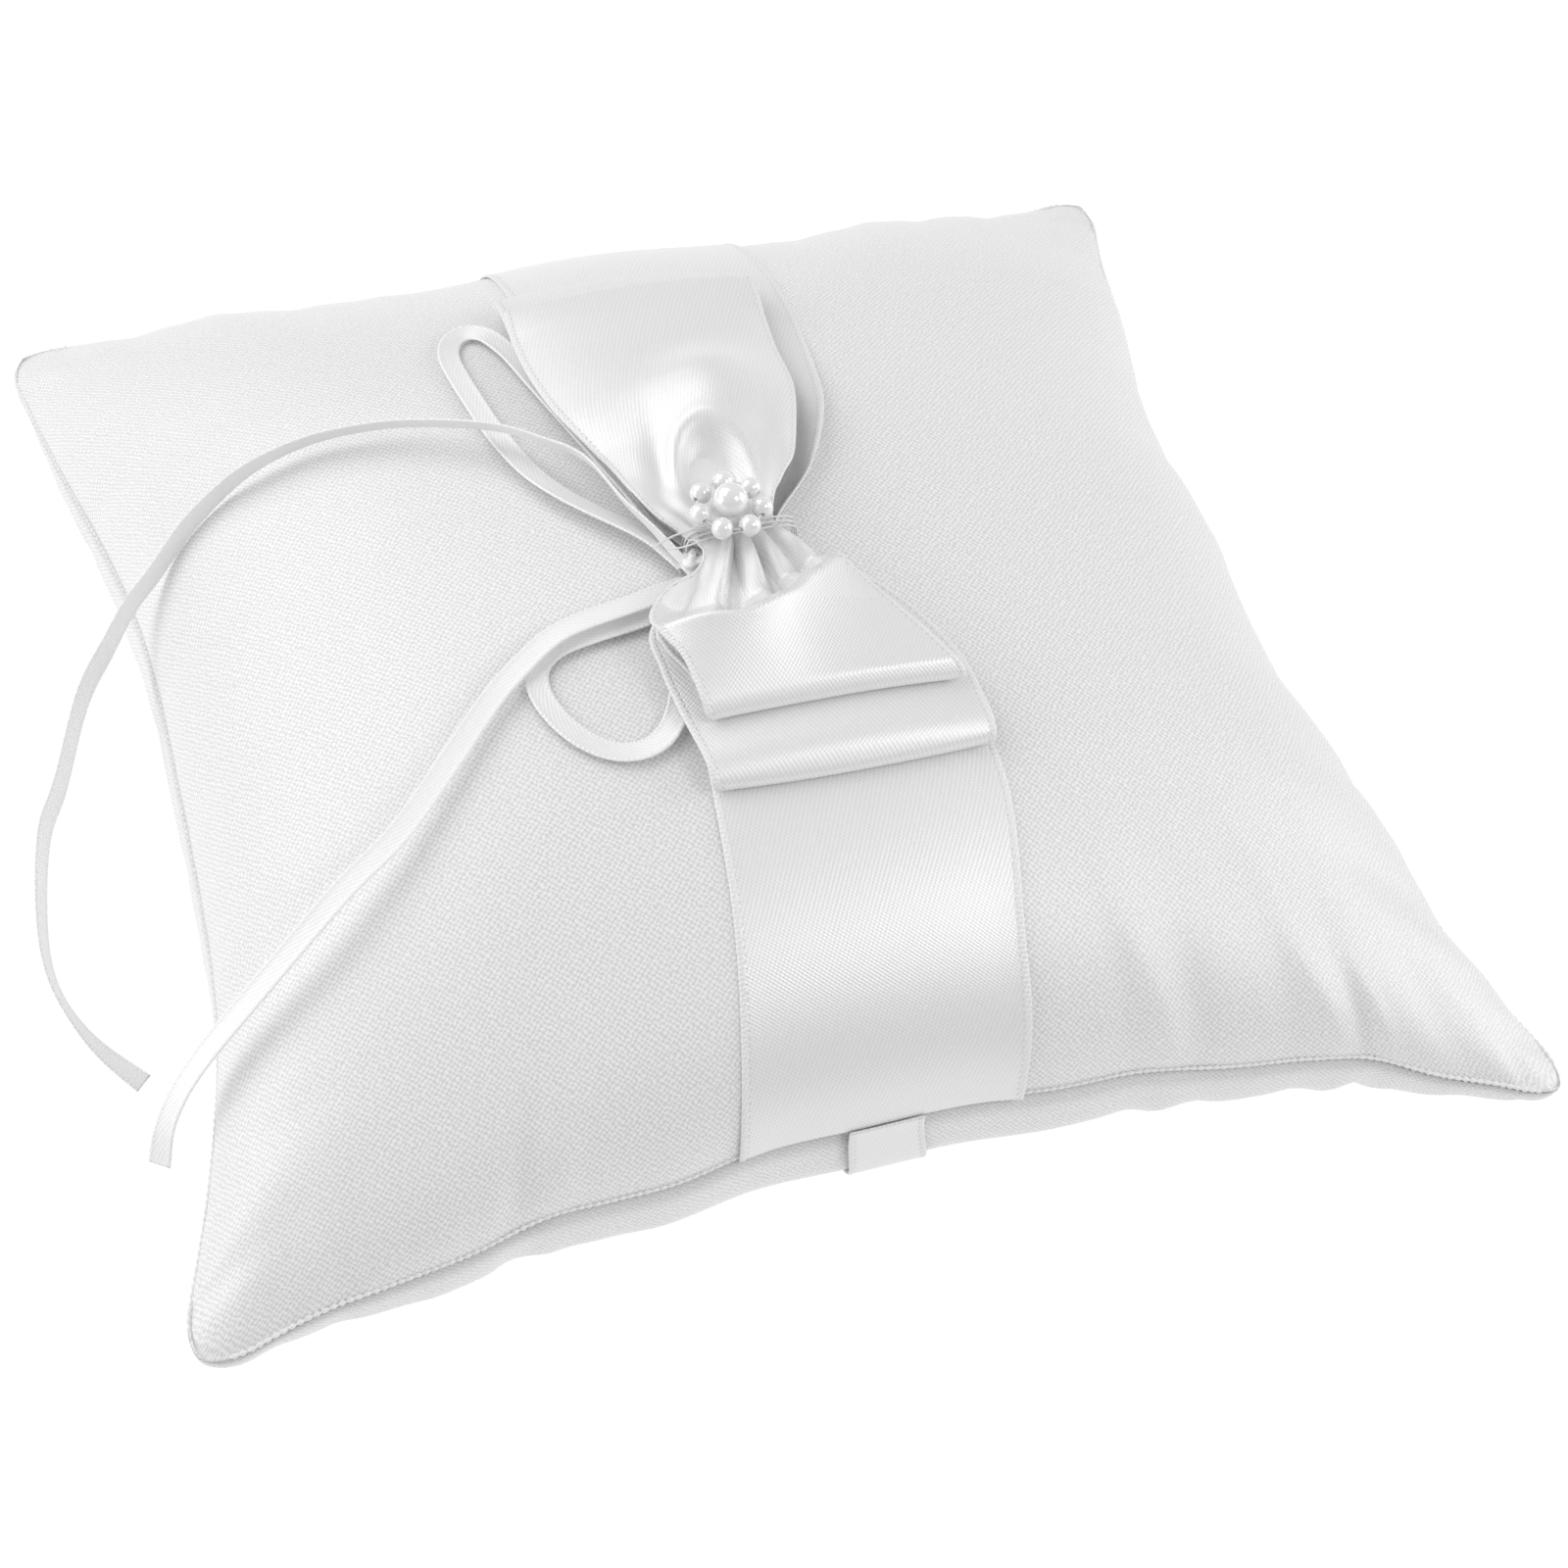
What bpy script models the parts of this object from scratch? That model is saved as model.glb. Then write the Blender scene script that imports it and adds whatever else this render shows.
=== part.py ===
"""Ring bearer pillow: a square satin cushion with a wide ribbon over it, a pinched bow with a pearl
flower, a narrow ribbon tied in a bow to hold the rings, and a hand strap underneath.

Run it with blender --background --python part.py. Metres, +Z up. The wide ribbon runs along Y, the
near side is -Y, and the origin is under the middle of the pillow, on the surface it rests on.
Lengths below are in millimetres until MM turns them into metres.
"""

import math

import bmesh
import bpy
from mathutils import Vector

MM = 0.001
TOP = 1
UNDER = -1

# Cover: two satin squares of about 180 mm, sewn on four sides and filled.
CORNER_TIPS = {  # (x, y, height of the seam) of each sewn corner before rounding, by its sign in X and in Y
    (-1, -1): (-94.5, -88.0, 26.5),
    (1, -1): (93.0, -93.0, 21.5),
    (1, 1): (91.0, 91.0, 24.5),
    (-1, 1): (-91.0, 89.5, 26.0),
}
HALF_SPAN = 89.0
CORNER_RADIUS = 12.0
FRONT_PULL_IN = 15.2
RIGHT_PULL_IN = 17.4
BACK_PULL_IN = 14.0
LEFT_PULL_IN = 15.0
LEFT_PULL_LEAN = 0.25  # the left side is pulled in more towards the front
PULL_IN_POWER = 0.9
SEAM_RISE = 6.8
CROWN_RISE = 32.3
UNDER_DROP = 36.0
DOME_POWER = 0.45
SEAM_SOFTENING = 0.012  # larger values let the top panel leave the seam less steeply
FRONT_WAVE = [  # (x, how far the front seam wanders up and in)
    (-89, 0.0), (-75, 0.5), (-65, -0.5), (-56, -0.9), (-46, 0.1), (-38, -0.8), (-31, -1.3), (-18, 0.6), (-6, 0.7),
    (8, 1.4), (20, 1.3), (31, 2.7), (44, 2.9), (54, 4.0), (62, 4.5), (71, 2.4), (81, 1.6), (89, 0.0),
]
RIPPLE = 0.8
RIPPLE_RATES = {"right": (0.13, 0.8), "back": (0.12, 2.0), "left": (0.09, -0.6)}  # (radians a mm, start)
WAVE_SHARE = 0.6  # share of a seam's wander that goes sideways, and share that goes upwards
WAVE_FADE = 3
COVER_THICKNESS = 0.5
SEAM_GAP = 0.15
ALLOWANCE = 0.93  # the turned-in seam allowance reaches in to this share of the half span
COVER_CELLS = 28
FILLING_CELLS = 14
FILLING_SHARE = 0.9
FILLING_CLEARANCE = 3.0
EDGE_SPACING = 1.2

# Ribbons and thread.
RIBBON_WIDTH = 38.0
RIBBON_THICKNESS = 0.4
RIBBON_LIFT = 0.55
RIBBON_LIFT_AT_PINCH = 1.4
RIBBON_END = 88.4  # degrees; the ribbon's ends stop just short of the seams at 90
RIBBON_ROWS = 56
RIBBON_COLUMNS = 6
PINCH_BUMP = 6.0
BASE_LEFT = [  # (y, x) along the ribbon's edges
    (-77, -22.6), (-69, -20.8), (-57, -18.6), (-40, -16.9), (-24, -15.6), (-8, -9.2), (8, -14.6), (30, -18.8),
    (50, -19.2), (62, -19.2), (78, -19.0),
]
BASE_RIGHT = [
    (-77, 14.4), (-72, 16.0), (-63, 17.2), (-40, 20.0), (-24, 15.4), (-8, 0.2), (4, 8.9), (14, 13.6), (25, 16.1),
    (36, 17.6), (50, 18.4), (62, 18.4), (78, 18.9),
]
STRAP_WIDTH = 10.0
STRAP_THICKNESS = 0.35
STRAP_X = -1.0
STRAP_LIFT = 0.55
STRAP_LIFT_AT_SEAM = 1.6
STRAP_STAND_OFF = 13.0  # degrees of the section over which the strap's ends stand out
STRAP_ROWS = 48
CHANNEL_DEPTH = 0.8
CHANNEL_HALF = 5.85
CHANNEL_SLOPE = 2.6
TIE_WIDTH = 3.0
TIE_WIDTH_AT_KNOT = 1.4
TIE_THICKNESS = 0.35
TIE_TAPER = 6.0
TIE_STEP = 2.6
THREAD_RADIUS = 0.25
SEAM_THREAD_OUT = 0.5
THREAD_CELLS = 44

# Bow: two rings of the wide ribbon, stacked and pinched at one place. Edges are (y, x), heights over the
# cover are (y, height).
PINCH = (-4.5, -8.0)
BOW_ROWS = 76
BOW_COLUMNS = 9
BOW_TURN_SHARPNESS = 5
LOWER_ENDS = (-41.6, 50.0)
LOWER_LEFT = [
    (-43, -17.0), (-37, -17.6), (-30, -18.8), (-24, -19.4), (-17.5, -18.9), (-13, -14.0), (-9.6, -9.9),
    (-8, -9.5), (-6.4, -9.8), (-4, -12.2),
    (6, -16.8), (19, -20.8), (36, -22.8), (51, -22.6),
]
LOWER_RIGHT = [
    (-43, 20.0), (-36, 19.9), (-29.5, 18.9), (-25, 17.0), (-19.6, 13.8), (-15.5, 10.0), (-12, 5.2), (-8, -0.2),
    (-4, 0.4), (3, 4.9), (10, 7.6), (18, 9.9), (28, 10.8), (44, 12.6), (51, 13.4),
]
LOWER_UNDER = [
    (-43, 1.4), (-38, 1.6), (-30, 1.75), (-20, 1.75), (-14, 1.8), (-8, 2.1), (10, 2.1), (30, 1.9), (51, 1.7),
]
LOWER_OVER = [
    (-43, 2.1), (-41.4, 2.6), (-39.9, 3.8), (-34, 3.5), (-26, 3.1), (-18, 2.6), (-14, 2.6), (-8, 2.9), (2, 3.5),
    (12, 4.6), (30, 3.9), (44, 3.6), (51, 3.0),
]
LOWER_EDGE_DROPS = (0.5, 1.9)  # how far the far loops' right edges lie down, under layer and over layer
UPPER_ENDS = (-33.2, 43.0)
UPPER_LEFT = [
    (-34, -16.0), (-32, -16.3), (-26, -17.4), (-21.5, -19.3), (-19, -19.6), (-16, -18.0), (-13.6, -14.4),
    (-11.6, -11.2), (-9.6, -9.9), (-8, -9.5), (-6.4, -9.8), (-4, -12.6), (0, -16.0), (6, -18.0), (19, -21.8),
    (36, -23.4), (44, -22.9),
]
UPPER_RIGHT = [
    (-34, 18.6), (-32, 17.4), (-27, 14.2), (-22, 10.7), (-18.5, 8.0), (-15, 5.0), (-12, 2.2), (-9.5, 0.3),
    (-8, -0.1), (-4.5, 0.9), (3, 5.9), (10, 8.6), (18, 10.9), (28, 11.6), (40, 12.8), (44, 13.0),
]
UPPER_UNDER = [
    (-34, 4.6), (-30, 4.3), (-24, 3.8), (-18, 3.4), (-14, 3.3), (-8, 3.6), (2, 4.6), (12, 5.6), (30, 5.0),
    (44, 4.5),
]
UPPER_OVER = [  # (row's y, height): the near loop's rows swing round to its crest, the row at CREST_Y
    (-33.2, 5.4), (-31.6, 6.6), (-27, 8.5), (-23.4, 10.0), (-21.0, 7.4), (-18, 4.8), (-14, 4.6), (-8, 5.2),
    (-2, 6.0), (5, 7.4), (12, 9.3), (18, 9.6), (26, 6.8), (34, 5.8), (43, 5.4),
]
UPPER_EDGE_DROPS = (2.3, 2.3)
CREST_Y = -23.4
CREST_STEPS = 12
CREST_LINE = [  # (x, y) along the crest of the near upper loop
    (-20.5, -20.9), (-16, -22.0), (-11, -23.2), (-7.4, -23.3), (-4.4, -22.4), (-1.4, -20.6), (2.5, -18.0),
    (6.2, -15.7), (10, -13.9),
]
EDGE_DROP_FROM = (0.0, 9.0)
EDGE_DROP_TO = (36.0, 46.0)
WINDING_TURNS = 3
WINDING_PITCH = 0.75
WINDING_HALF = (6.6, 2.9)
WINDING_LIFT = 3.35
WINDING_START = 120
TACK_LIFT = 1.7
TACK_STITCHES = 8
TACK_LENGTH = 8.0
TACK_BEHIND = 4.6
TACK_LEAN = 1.2

# Pearl flower.
FLOWER = (-5.8, -6.6)
CENTRE_PEARL_RADIUS = 2.4
PETAL_RADIUS = 1.4
PETAL_COUNT = 7
PETAL_RING = 4.1
PETAL_PHASE = -17.0
PETAL_LIFT = 8.4
CENTRE_LIFT = 9.4
BORE_RADIUS = 0.5
CENTRE_BORE_AXIS = (0.8, -0.6, 0.0)
PEARL_RINGS = 8
PEARL_SIDES = 18
BEAD_THREAD_RADIUS = 0.12

# Narrow tie ribbon. Each route point is (x, y, height over the cover, roll of the face in degrees);
# a point past the cover's edge gives its height over the floor instead.
KNOT = (-13.7, -9.9, 1.7)
KNOT_HALF = (1.3, 1.2, 1.0)
KNOT_RINGS = 7
KNOT_SIDES = 12
BACK_TAIL_OVER = [
    (-13.9, -7.9, 3.7, 80), (-15.5, -3.9, 4.1, 95), (-17.8, 0.6, 4.5, 105), (-20.9, 8.6, 5.0, 112),
    (-25.0, 13.6, 5.0, 116), (-30.6, 19.4, 4.5, 118), (-40.2, 25.7, 3.4, 118), (-48.1, 28.5, 3.0, 116),
    (-54.3, 29.5, 2.9, 110), (-60.9, 29.1, 2.9, 100),
]
BACK_TAIL_BEYOND = [
    (-65.6, 28.2, 51.4, 88), (-70.6, 26.0, 48.0, 76), (-75.4, 22.8, 44.0, 66), (-79.2, 20.3, 41.5, 58),
    (-83.2, 16.7, 37.8, 52), (-87.6, 13.0, 32.8, 50), (-92.6, 4.7, 25.6, 52), (-95.6, 0.8, 21.8, 58),
    (-97.6, -5.2, 16.8, 66), (-98.6, -11.6, 11.8, 70), (-98.0, -16.4, 8.4, 66), (-95.8, -20.9, 5.2, 50),
    (-93.6, -23.9, 3.4, 30), (-91.2, -26.6, 2.2, 12), (-89.2, -28.6, 1.2, 0),
]
BACK_LOOP = [
    (-14.6, -7.9, 1.75, 0), (-15.5, -5.2, 1.75, 10), (-17.2, -1.9, 1.75, 25), (-19.8, 1.2, 1.75, 40),
    (-22.6, 4.5, 1.6, 40), (-24.8, 8.0, 1.4, 30), (-26.5, 11.6, 1.2, 14), (-27.9, 16.7, 1.0, 0),
    (-29.4, 22.9, 1.0, 0), (-30.3, 29.1, 1.0, 0), (-31.0, 35.7, 1.0, 0), (-31.2, 40.6, 1.0, 0),
    (-30.2, 44.2, 1.1, 0), (-27.6, 45.8, 1.2, 0), (-25.2, 43.9, 1.2, 0), (-23.2, 37.6, 1.3, 0),
    (-22.0, 31.3, 1.3, 0), (-19.8, 21.0, 1.3, 0), (-16.8, 9.5, 1.3, 0), (-14.4, 1.6, 1.2, 0),
    (-13.2, -3.8, 0.95, 0), (-13.0, -7.0, 0.9, 0),
]
FRONT_TAIL_OVER = [
    (-15.8, -11.3, 2.1, 0), (-17.4, -12.6, 2.1, 0), (-20.0, -13.5, 2.1, 0), (-24.8, -13.9, 2.1, 0),
    (-30.2, -14.8, 2.2, 0), (-35.6, -18.0, 2.2, 4), (-40.3, -21.6, 2.2, 6), (-46.9, -28.2, 2.7, 8),
    (-54.7, -35.4, 3.7, 8), (-61.8, -39.9, 5.2, 6),
]
FRONT_TAIL_BEYOND = [
    (-66.0, -42.8, 52.8, 4), (-70.9, -45.6, 49.8, 2), (-77.4, -48.9, 45.0, 0), (-82.0, -51.0, 41.0, -4),
    (-85.8, -52.9, 36.6, -8), (-88.4, -54.9, 32.0, -12), (-89.6, -57.0, 28.0, -14),
]
FRONT_LOOP = [
    (-15.6, -12.4, 0.85, 0), (-17.2, -14.3, 0.8, 0), (-20.4, -15.3, 0.8, 0), (-25.0, -15.6, 0.8, 0),
    (-30.0, -16.0, 0.8, 0), (-33.1, -17.9, 0.8, 0), (-34.0, -21.0, 0.8, 0), (-33.0, -25.0, 0.8, 0),
    (-30.8, -28.9, 0.8, 0), (-27.4, -32.0, 0.8, 0), (-24.0, -33.0, 0.8, 0), (-21.2, -32.3, 1.0, 0),
    (-19.0, -30.2, 1.2, 0), (-17.2, -26.6, 1.2, 0), (-14.9, -20.6, 1.2, 0), (-13.4, -15.6, 1.26, 0),
    (-13.2, -12.6, 1.26, 0),
]
LOOSE_ENDS = [
    [(-9.8, -7.2, 6.9), (-12.0, -7.4, 7.2), (-15.0, -7.7, 7.3), (-18.3, -8.6, 7.0)],
    [(-9.8, -9.4, 6.9), (-11.8, -10.2, 7.1), (-13.6, -10.6, 7.0), (-16.0, -10.2, 6.6)],
]


# Cover geometry


def through(points, x):
    """Value at x on a smooth curve through (x, value) points."""
    x = min(max(x, points[0][0]), points[-1][0])
    k = 0
    while k < len(points) - 2 and x > points[k + 1][0]:
        k += 1
    (x0, y0), (x1, y1) = points[k], points[k + 1]
    step = x1 - x0
    t = (x - x0) / step
    value = y0 * (2 * t**3 - 3 * t**2 + 1) + y1 * (3 * t**2 - 2 * t**3)
    return value + step * (slope(points, k) * (t**3 - 2 * t**2 + t) + slope(points, k + 1) * (t**3 - t**2))


def slope(points, k):
    """Slope of the smooth curve at point k."""
    last = len(points) - 1
    if k in (0, last):
        (x0, y0), (x1, y1) = points[max(k - 1, 0)], points[min(k + 1, last)]
        return (y1 - y0) / (x1 - x0)
    (x0, y0), (x1, y1), (x2, y2) = points[k - 1 : k + 2]
    before, after = x1 - x0, x2 - x1
    total = before**2 * y2 + (after**2 - before**2) * y1 - after**2 * y0
    return total / (before * after * (before + after))


def round_corners(u, v):
    """Cover parameters with the square's corners drawn in to arcs."""
    reach = CORNER_RADIUS / HALF_SPAN
    past_u = max(abs(u) - (1 - reach), 0.0) / reach
    past_v = max(abs(v) - (1 - reach), 0.0) / reach
    in_u = reach * past_u * (1 - math.sqrt(1 - min(past_v, 1.0) ** 2 / 2))
    in_v = reach * past_v * (1 - math.sqrt(1 - min(past_u, 1.0) ** 2 / 2))
    return u - math.copysign(in_u, u), v - math.copysign(in_v, v)


def ripple(side, place):
    rate, start = RIPPLE_RATES[side]
    return RIPPLE * math.sin(rate * place + start)


def plan(u, v):
    """Point of the seam surface at cover parameters u and v, each from -1 to 1."""
    u, v = round_corners(u, v)
    point = Vector((0.0, 0.0, 0.0))
    for (sign_x, sign_y), tip in CORNER_TIPS.items():
        point += Vector(tip) * (1 + sign_x * u) * (1 + sign_y * v) / 4
    along_x = max(1 - u * u, 0.0) ** PULL_IN_POWER
    along_y = max(1 - v * v, 0.0) ** PULL_IN_POWER
    left_pull = LEFT_PULL_IN * (1 - LEFT_PULL_LEAN * v)
    point.x += (left_pull * (1 - u) - RIGHT_PULL_IN * (1 + u)) / 2 * along_y
    point.y += (FRONT_PULL_IN * (1 - v) - BACK_PULL_IN * (1 + v)) / 2 * along_x
    point.z += SEAM_RISE * (1 - (u * v) ** 2)
    front = through(FRONT_WAVE, point.x) * min(max((1 - v) / 2, 0.0), 1.0) ** WAVE_FADE
    right = ripple("right", point.y) * min(max((1 + u) / 2, 0.0), 1.0) ** WAVE_FADE
    back = ripple("back", point.x) * min(max((1 + v) / 2, 0.0), 1.0) ** WAVE_FADE
    left = ripple("left", point.y) * min(max((1 - u) / 2, 0.0), 1.0) ** WAVE_FADE
    up = front + right + back + left
    return point + Vector((left + right, front + back, up)) * WAVE_SHARE


def bulge(u, v, side):
    """Rise of the cover, from 0 at the seams to 1 in the middle."""
    softening = SEAM_SOFTENING if side == TOP else 0.0
    rim = softening**DOME_POWER
    inward = max((1 - u * u) * (1 - v * v), 0.0)
    return ((inward + softening) ** DOME_POWER - rim) / ((1 + softening) ** DOME_POWER - rim)


def channel(x):
    """Height of the strap's channel in the underside, at x."""
    past = (abs(x - STRAP_X) - CHANNEL_HALF) / CHANNEL_SLOPE
    return CHANNEL_DEPTH * (1 - min(max(past, 0.0), 1.0))


def skin(u, v, side):
    """Point on the outer face of the cover."""
    point = plan(u, v)
    dome = bulge(u, v, side)
    if side == TOP:
        point.z += CROWN_RISE * dome
    else:
        point.z = max(point.z - UNDER_DROP * dome, channel(point.x))
    return point


def skin_normal(u, v, side):
    step = 0.004
    u = min(max(u, -1 + 2 * step), 1 - 2 * step)
    v = min(max(v, -1 + 2 * step), 1 - 2 * step)
    along_u = skin(u + step, v, side) - skin(u - step, v, side)
    along_v = skin(u, v + step, side) - skin(u, v - step, side)
    return along_u.cross(along_v).normalized() * side


def over(u, v, side, lift):
    return skin(u, v, side) + skin_normal(u, v, side) * lift


def find_u(x, v):
    """Cover parameter u of the point of row v that lies at x."""
    u = x / HALF_SPAN
    for _ in range(14):
        u += (x - plan(u, v).x) / HALF_SPAN
    return min(max(u, -1.0), 1.0)


def over_xy(x, y, lift):
    """Point at x and y, lift above the top of the cover."""
    u, v = x / HALF_SPAN, y / HALF_SPAN
    for _ in range(14):
        flat = plan(u, v)
        u += (x - flat.x) / HALF_SPAN
        v += (y - flat.y) / HALF_SPAN
    point = skin(min(max(u, -1.0), 1.0), min(max(v, -1.0), 1.0), TOP)
    return Vector((x, y, point.z + lift))


# Making solids


def clear_scene():
    for item in list(bpy.data.objects):
        bpy.data.objects.remove(item, do_unlink=True)


def material(name, colour, roughness):
    made = bpy.data.materials.new(name)
    made.use_nodes = True
    shader = made.node_tree.nodes["Principled BSDF"]
    shader.inputs["Base Color"].default_value = (*colour, 1.0)
    shader.inputs["Roughness"].default_value = roughness
    shader.inputs["Metallic"].default_value = 0.0
    made.diffuse_color = (*colour, 1.0)
    return made


def face_outwards(build):
    bmesh.ops.recalc_face_normals(build, faces=build.faces)
    if build.calc_volume(signed=True) < 0:
        bmesh.ops.reverse_faces(build, faces=build.faces)


def add_object(name, points, faces, finish, smooth=True):
    """One object from points in millimetres and faces of point indices."""
    mesh = bpy.data.meshes.new(name)
    mesh.from_pydata([tuple(point * MM) for point in points], [], faces)
    build = bmesh.new()
    build.from_mesh(mesh)
    face_outwards(build)
    build.to_mesh(mesh)
    build.free()
    mesh.materials.append(finish)
    made = bpy.data.objects.new(name, mesh)
    bpy.context.scene.collection.objects.link(made)
    if smooth:
        for face in mesh.polygons:
            face.use_smooth = True
    return made


def grid_normals(grid, closed):
    """Unit normal at each point of a grid of rows."""
    rows, columns = len(grid), len(grid[0])
    normals = []
    for i in range(rows):
        before = grid[(i - 1) % rows] if closed or i > 0 else grid[i]
        after = grid[(i + 1) % rows] if closed or i < rows - 1 else grid[i]
        line = []
        for j in range(columns):
            across = grid[i][min(j + 1, columns - 1)] - grid[i][max(j - 1, 0)]
            line.append((after[j] - before[j]).cross(across).normalized())
        normals.append(line)
    return normals


def band(name, grid, thickness, finish, closed=False):
    """A strip of ribbon as a closed solid: grid holds the rows of points of its middle surface."""
    rows, columns = len(grid), len(grid[0])
    normals = grid_normals(grid, closed)
    points = []
    for half in (thickness / 2, -thickness / 2):
        for line, directions in zip(grid, normals):
            points += [point + normal * half for point, normal in zip(line, directions)]
    layer = rows * columns

    def at(row, column, back):
        return back * layer + (row % rows) * columns + column

    faces = []
    for i in range(rows if closed else rows - 1):
        for j in range(columns - 1):
            faces.append((at(i, j, 0), at(i + 1, j, 0), at(i + 1, j + 1, 0), at(i, j + 1, 0)))
            faces.append((at(i, j, 1), at(i, j + 1, 1), at(i + 1, j + 1, 1), at(i + 1, j, 1)))
        for j in (0, columns - 1):
            faces.append((at(i, j, 0), at(i, j, 1), at(i + 1, j, 1), at(i + 1, j, 0)))
    if not closed:
        for i in (0, rows - 1):
            for j in range(columns - 1):
                faces.append((at(i, j, 0), at(i, j + 1, 0), at(i, j + 1, 1), at(i, j, 1)))
    return add_object(name, points, faces, finish)


def rings_solid(name, rings, finish, joined_ends=False):
    """A closed solid from rings of points, with capped ends or with the last ring joined to the first."""
    count = len(rings[0])
    points = [point for ring in rings for point in ring]
    faces = []
    for i in range(len(rings) if joined_ends else len(rings) - 1):
        here = i * count
        there = (i + 1) % len(rings) * count
        for j in range(count):
            k = (j + 1) % count
            faces.append((here + j, here + k, there + k, there + j))
    if not joined_ends:
        faces.append(tuple(range(count)))
        faces.append(tuple(len(points) - count + j for j in range(count)))
    return add_object(name, points, faces, finish)


def tube(name, centres, radius, sides, finish, closed=False):
    """A round tube along a list of centres."""
    rings = []
    count = len(centres)
    side = Vector((0.0, 0.0, 1.0))
    for i, centre in enumerate(centres):
        before = centres[(i - 1) % count] if closed or i > 0 else centre
        after = centres[(i + 1) % count] if closed or i < count - 1 else centre
        along = (after - before).normalized()
        side = (side - along * side.dot(along)).normalized()
        other = along.cross(side)
        turns = [2 * math.pi * k / sides for k in range(sides)]
        rings.append([centre + (side * math.cos(t) + other * math.sin(t)) * radius for t in turns])
    return rings_solid(name, rings, finish, joined_ends=closed)


# Cushion


def cover_stations(cells, extra=()):
    """Parameters from -1 to 1, closer together near the ends, with the extra ones put in."""
    steps = [2 * i / cells - 1 for i in range(cells + 1)]
    stations = [math.sin(EDGE_SPACING * t) / math.sin(EDGE_SPACING) for t in steps]
    room = 0.6 / cells
    kept = [t for t in stations if all(abs(t - e) > room for e in extra)]
    return sorted(kept + list(extra))


def border(rows, columns):
    """Grid indices round the border of a grid, in order."""
    loop = [(0, j) for j in range(columns)]
    loop += [(i, columns - 1) for i in range(1, rows)]
    loop += [(rows - 1, j) for j in range(columns - 2, -1, -1)]
    loop += [(i, 0) for i in range(rows - 2, 0, -1)]
    return loop


def cover_panel(name, side, finish):
    """One panel: a domed skin with its seam allowance turned in flat along the seam."""
    edges = [CHANNEL_HALF, CHANNEL_HALF + CHANNEL_SLOPE]
    marks = sorted((STRAP_X + sign * edge) / HALF_SPAN for edge in edges for sign in (-1, 1))
    stations_u = cover_stations(COVER_CELLS, marks if side == UNDER else ())
    stations_v = cover_stations(COVER_CELLS)
    rows, columns = len(stations_u), len(stations_v)
    loop = border(rows, columns)
    rim = set(loop)
    points, faces = [], []
    for inner in (False, True):
        for i, u in enumerate(stations_u):
            for j, v in enumerate(stations_v):
                if (i, j) not in rim:
                    depth = COVER_THICKNESS if inner else 0.0
                    points.append(over(u, v, side, -depth))
                    continue
                shrink = 1 - COVER_THICKNESS / HALF_SPAN if inner else 1.0
                point = plan(u * shrink, v * shrink)
                point.z += side * (SEAM_GAP + (COVER_THICKNESS if inner else 0.0))
                points.append(point)
    layer = rows * columns
    for back in (0, layer):
        for i in range(rows - 1):
            for j in range(columns - 1):
                corner = back + i * columns + j
                faces.append((corner, corner + columns, corner + columns + 1, corner + 1))
    flange = len(points)
    for deep in (0.0, COVER_THICKNESS):
        for i, j in loop:
            point = plan(stations_u[i] * ALLOWANCE, stations_v[j] * ALLOWANCE)
            seam = plan(stations_u[i], stations_v[j])
            point.z = seam.z + side * (SEAM_GAP + deep)
            points.append(point)
    count = len(loop)
    chains = [
        [i * columns + j for i, j in loop],
        [flange + k for k in range(count)],
        [flange + count + k for k in range(count)],
        [layer + i * columns + j for i, j in loop],
    ]
    for outer, nearer in zip(chains, chains[1:]):
        for k in range(count):
            n = (k + 1) % count
            faces.append((outer[k], outer[n], nearer[n], nearer[k]))
    return add_object(name, points, faces, finish)


def fibre_filling(finish):
    """The filling: one closed cushion shape, clear of the cover and of the seam allowances."""
    stations = cover_stations(FILLING_CELLS)
    count = len(stations)
    points, faces = [], []
    for side in (TOP, UNDER):
        for u in stations:
            for v in stations:
                point = plan(u * FILLING_SHARE, v * FILLING_SHARE)
                dome = bulge(u, v, side)
                rise = CROWN_RISE if side == TOP else point.z
                height = (rise - FILLING_CLEARANCE) * dome
                point.z += side * height
                points.append(point)
    layer = count * count
    for back in (0, layer):
        for i in range(count - 1):
            for j in range(count - 1):
                corner = back + i * count + j
                faces.append((corner, corner + count, corner + count + 1, corner + 1))
    made = add_object("fibre_filling", points, faces, finish)
    build = bmesh.new()
    build.from_mesh(made.data)
    bmesh.ops.remove_doubles(build, verts=build.verts, dist=0.01 * MM)
    face_outwards(build)
    build.to_mesh(made.data)
    build.free()
    return made


def seam_threads(finish):
    """The stitch line along each of the four seams, just outside the meeting edges."""
    stations = cover_stations(THREAD_CELLS)[1:-1]
    sides = {
        "front": [(t, -1.0) for t in stations],
        "right": [(1.0, t) for t in stations],
        "back": [(t, 1.0) for t in stations],
        "left": [(-1.0, t) for t in stations],
    }
    for name, places in sides.items():
        centres = []
        for u, v in places:
            point = plan(u, v)
            outward = Vector((u if abs(u) == 1 else 0.0, v if abs(v) == 1 else 0.0, 0.0))
            centres.append(point + outward * SEAM_THREAD_OUT)
        tube(f"seam_thread_{name}", centres, THREAD_RADIUS, 3, finish)


# Ribbons


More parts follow.
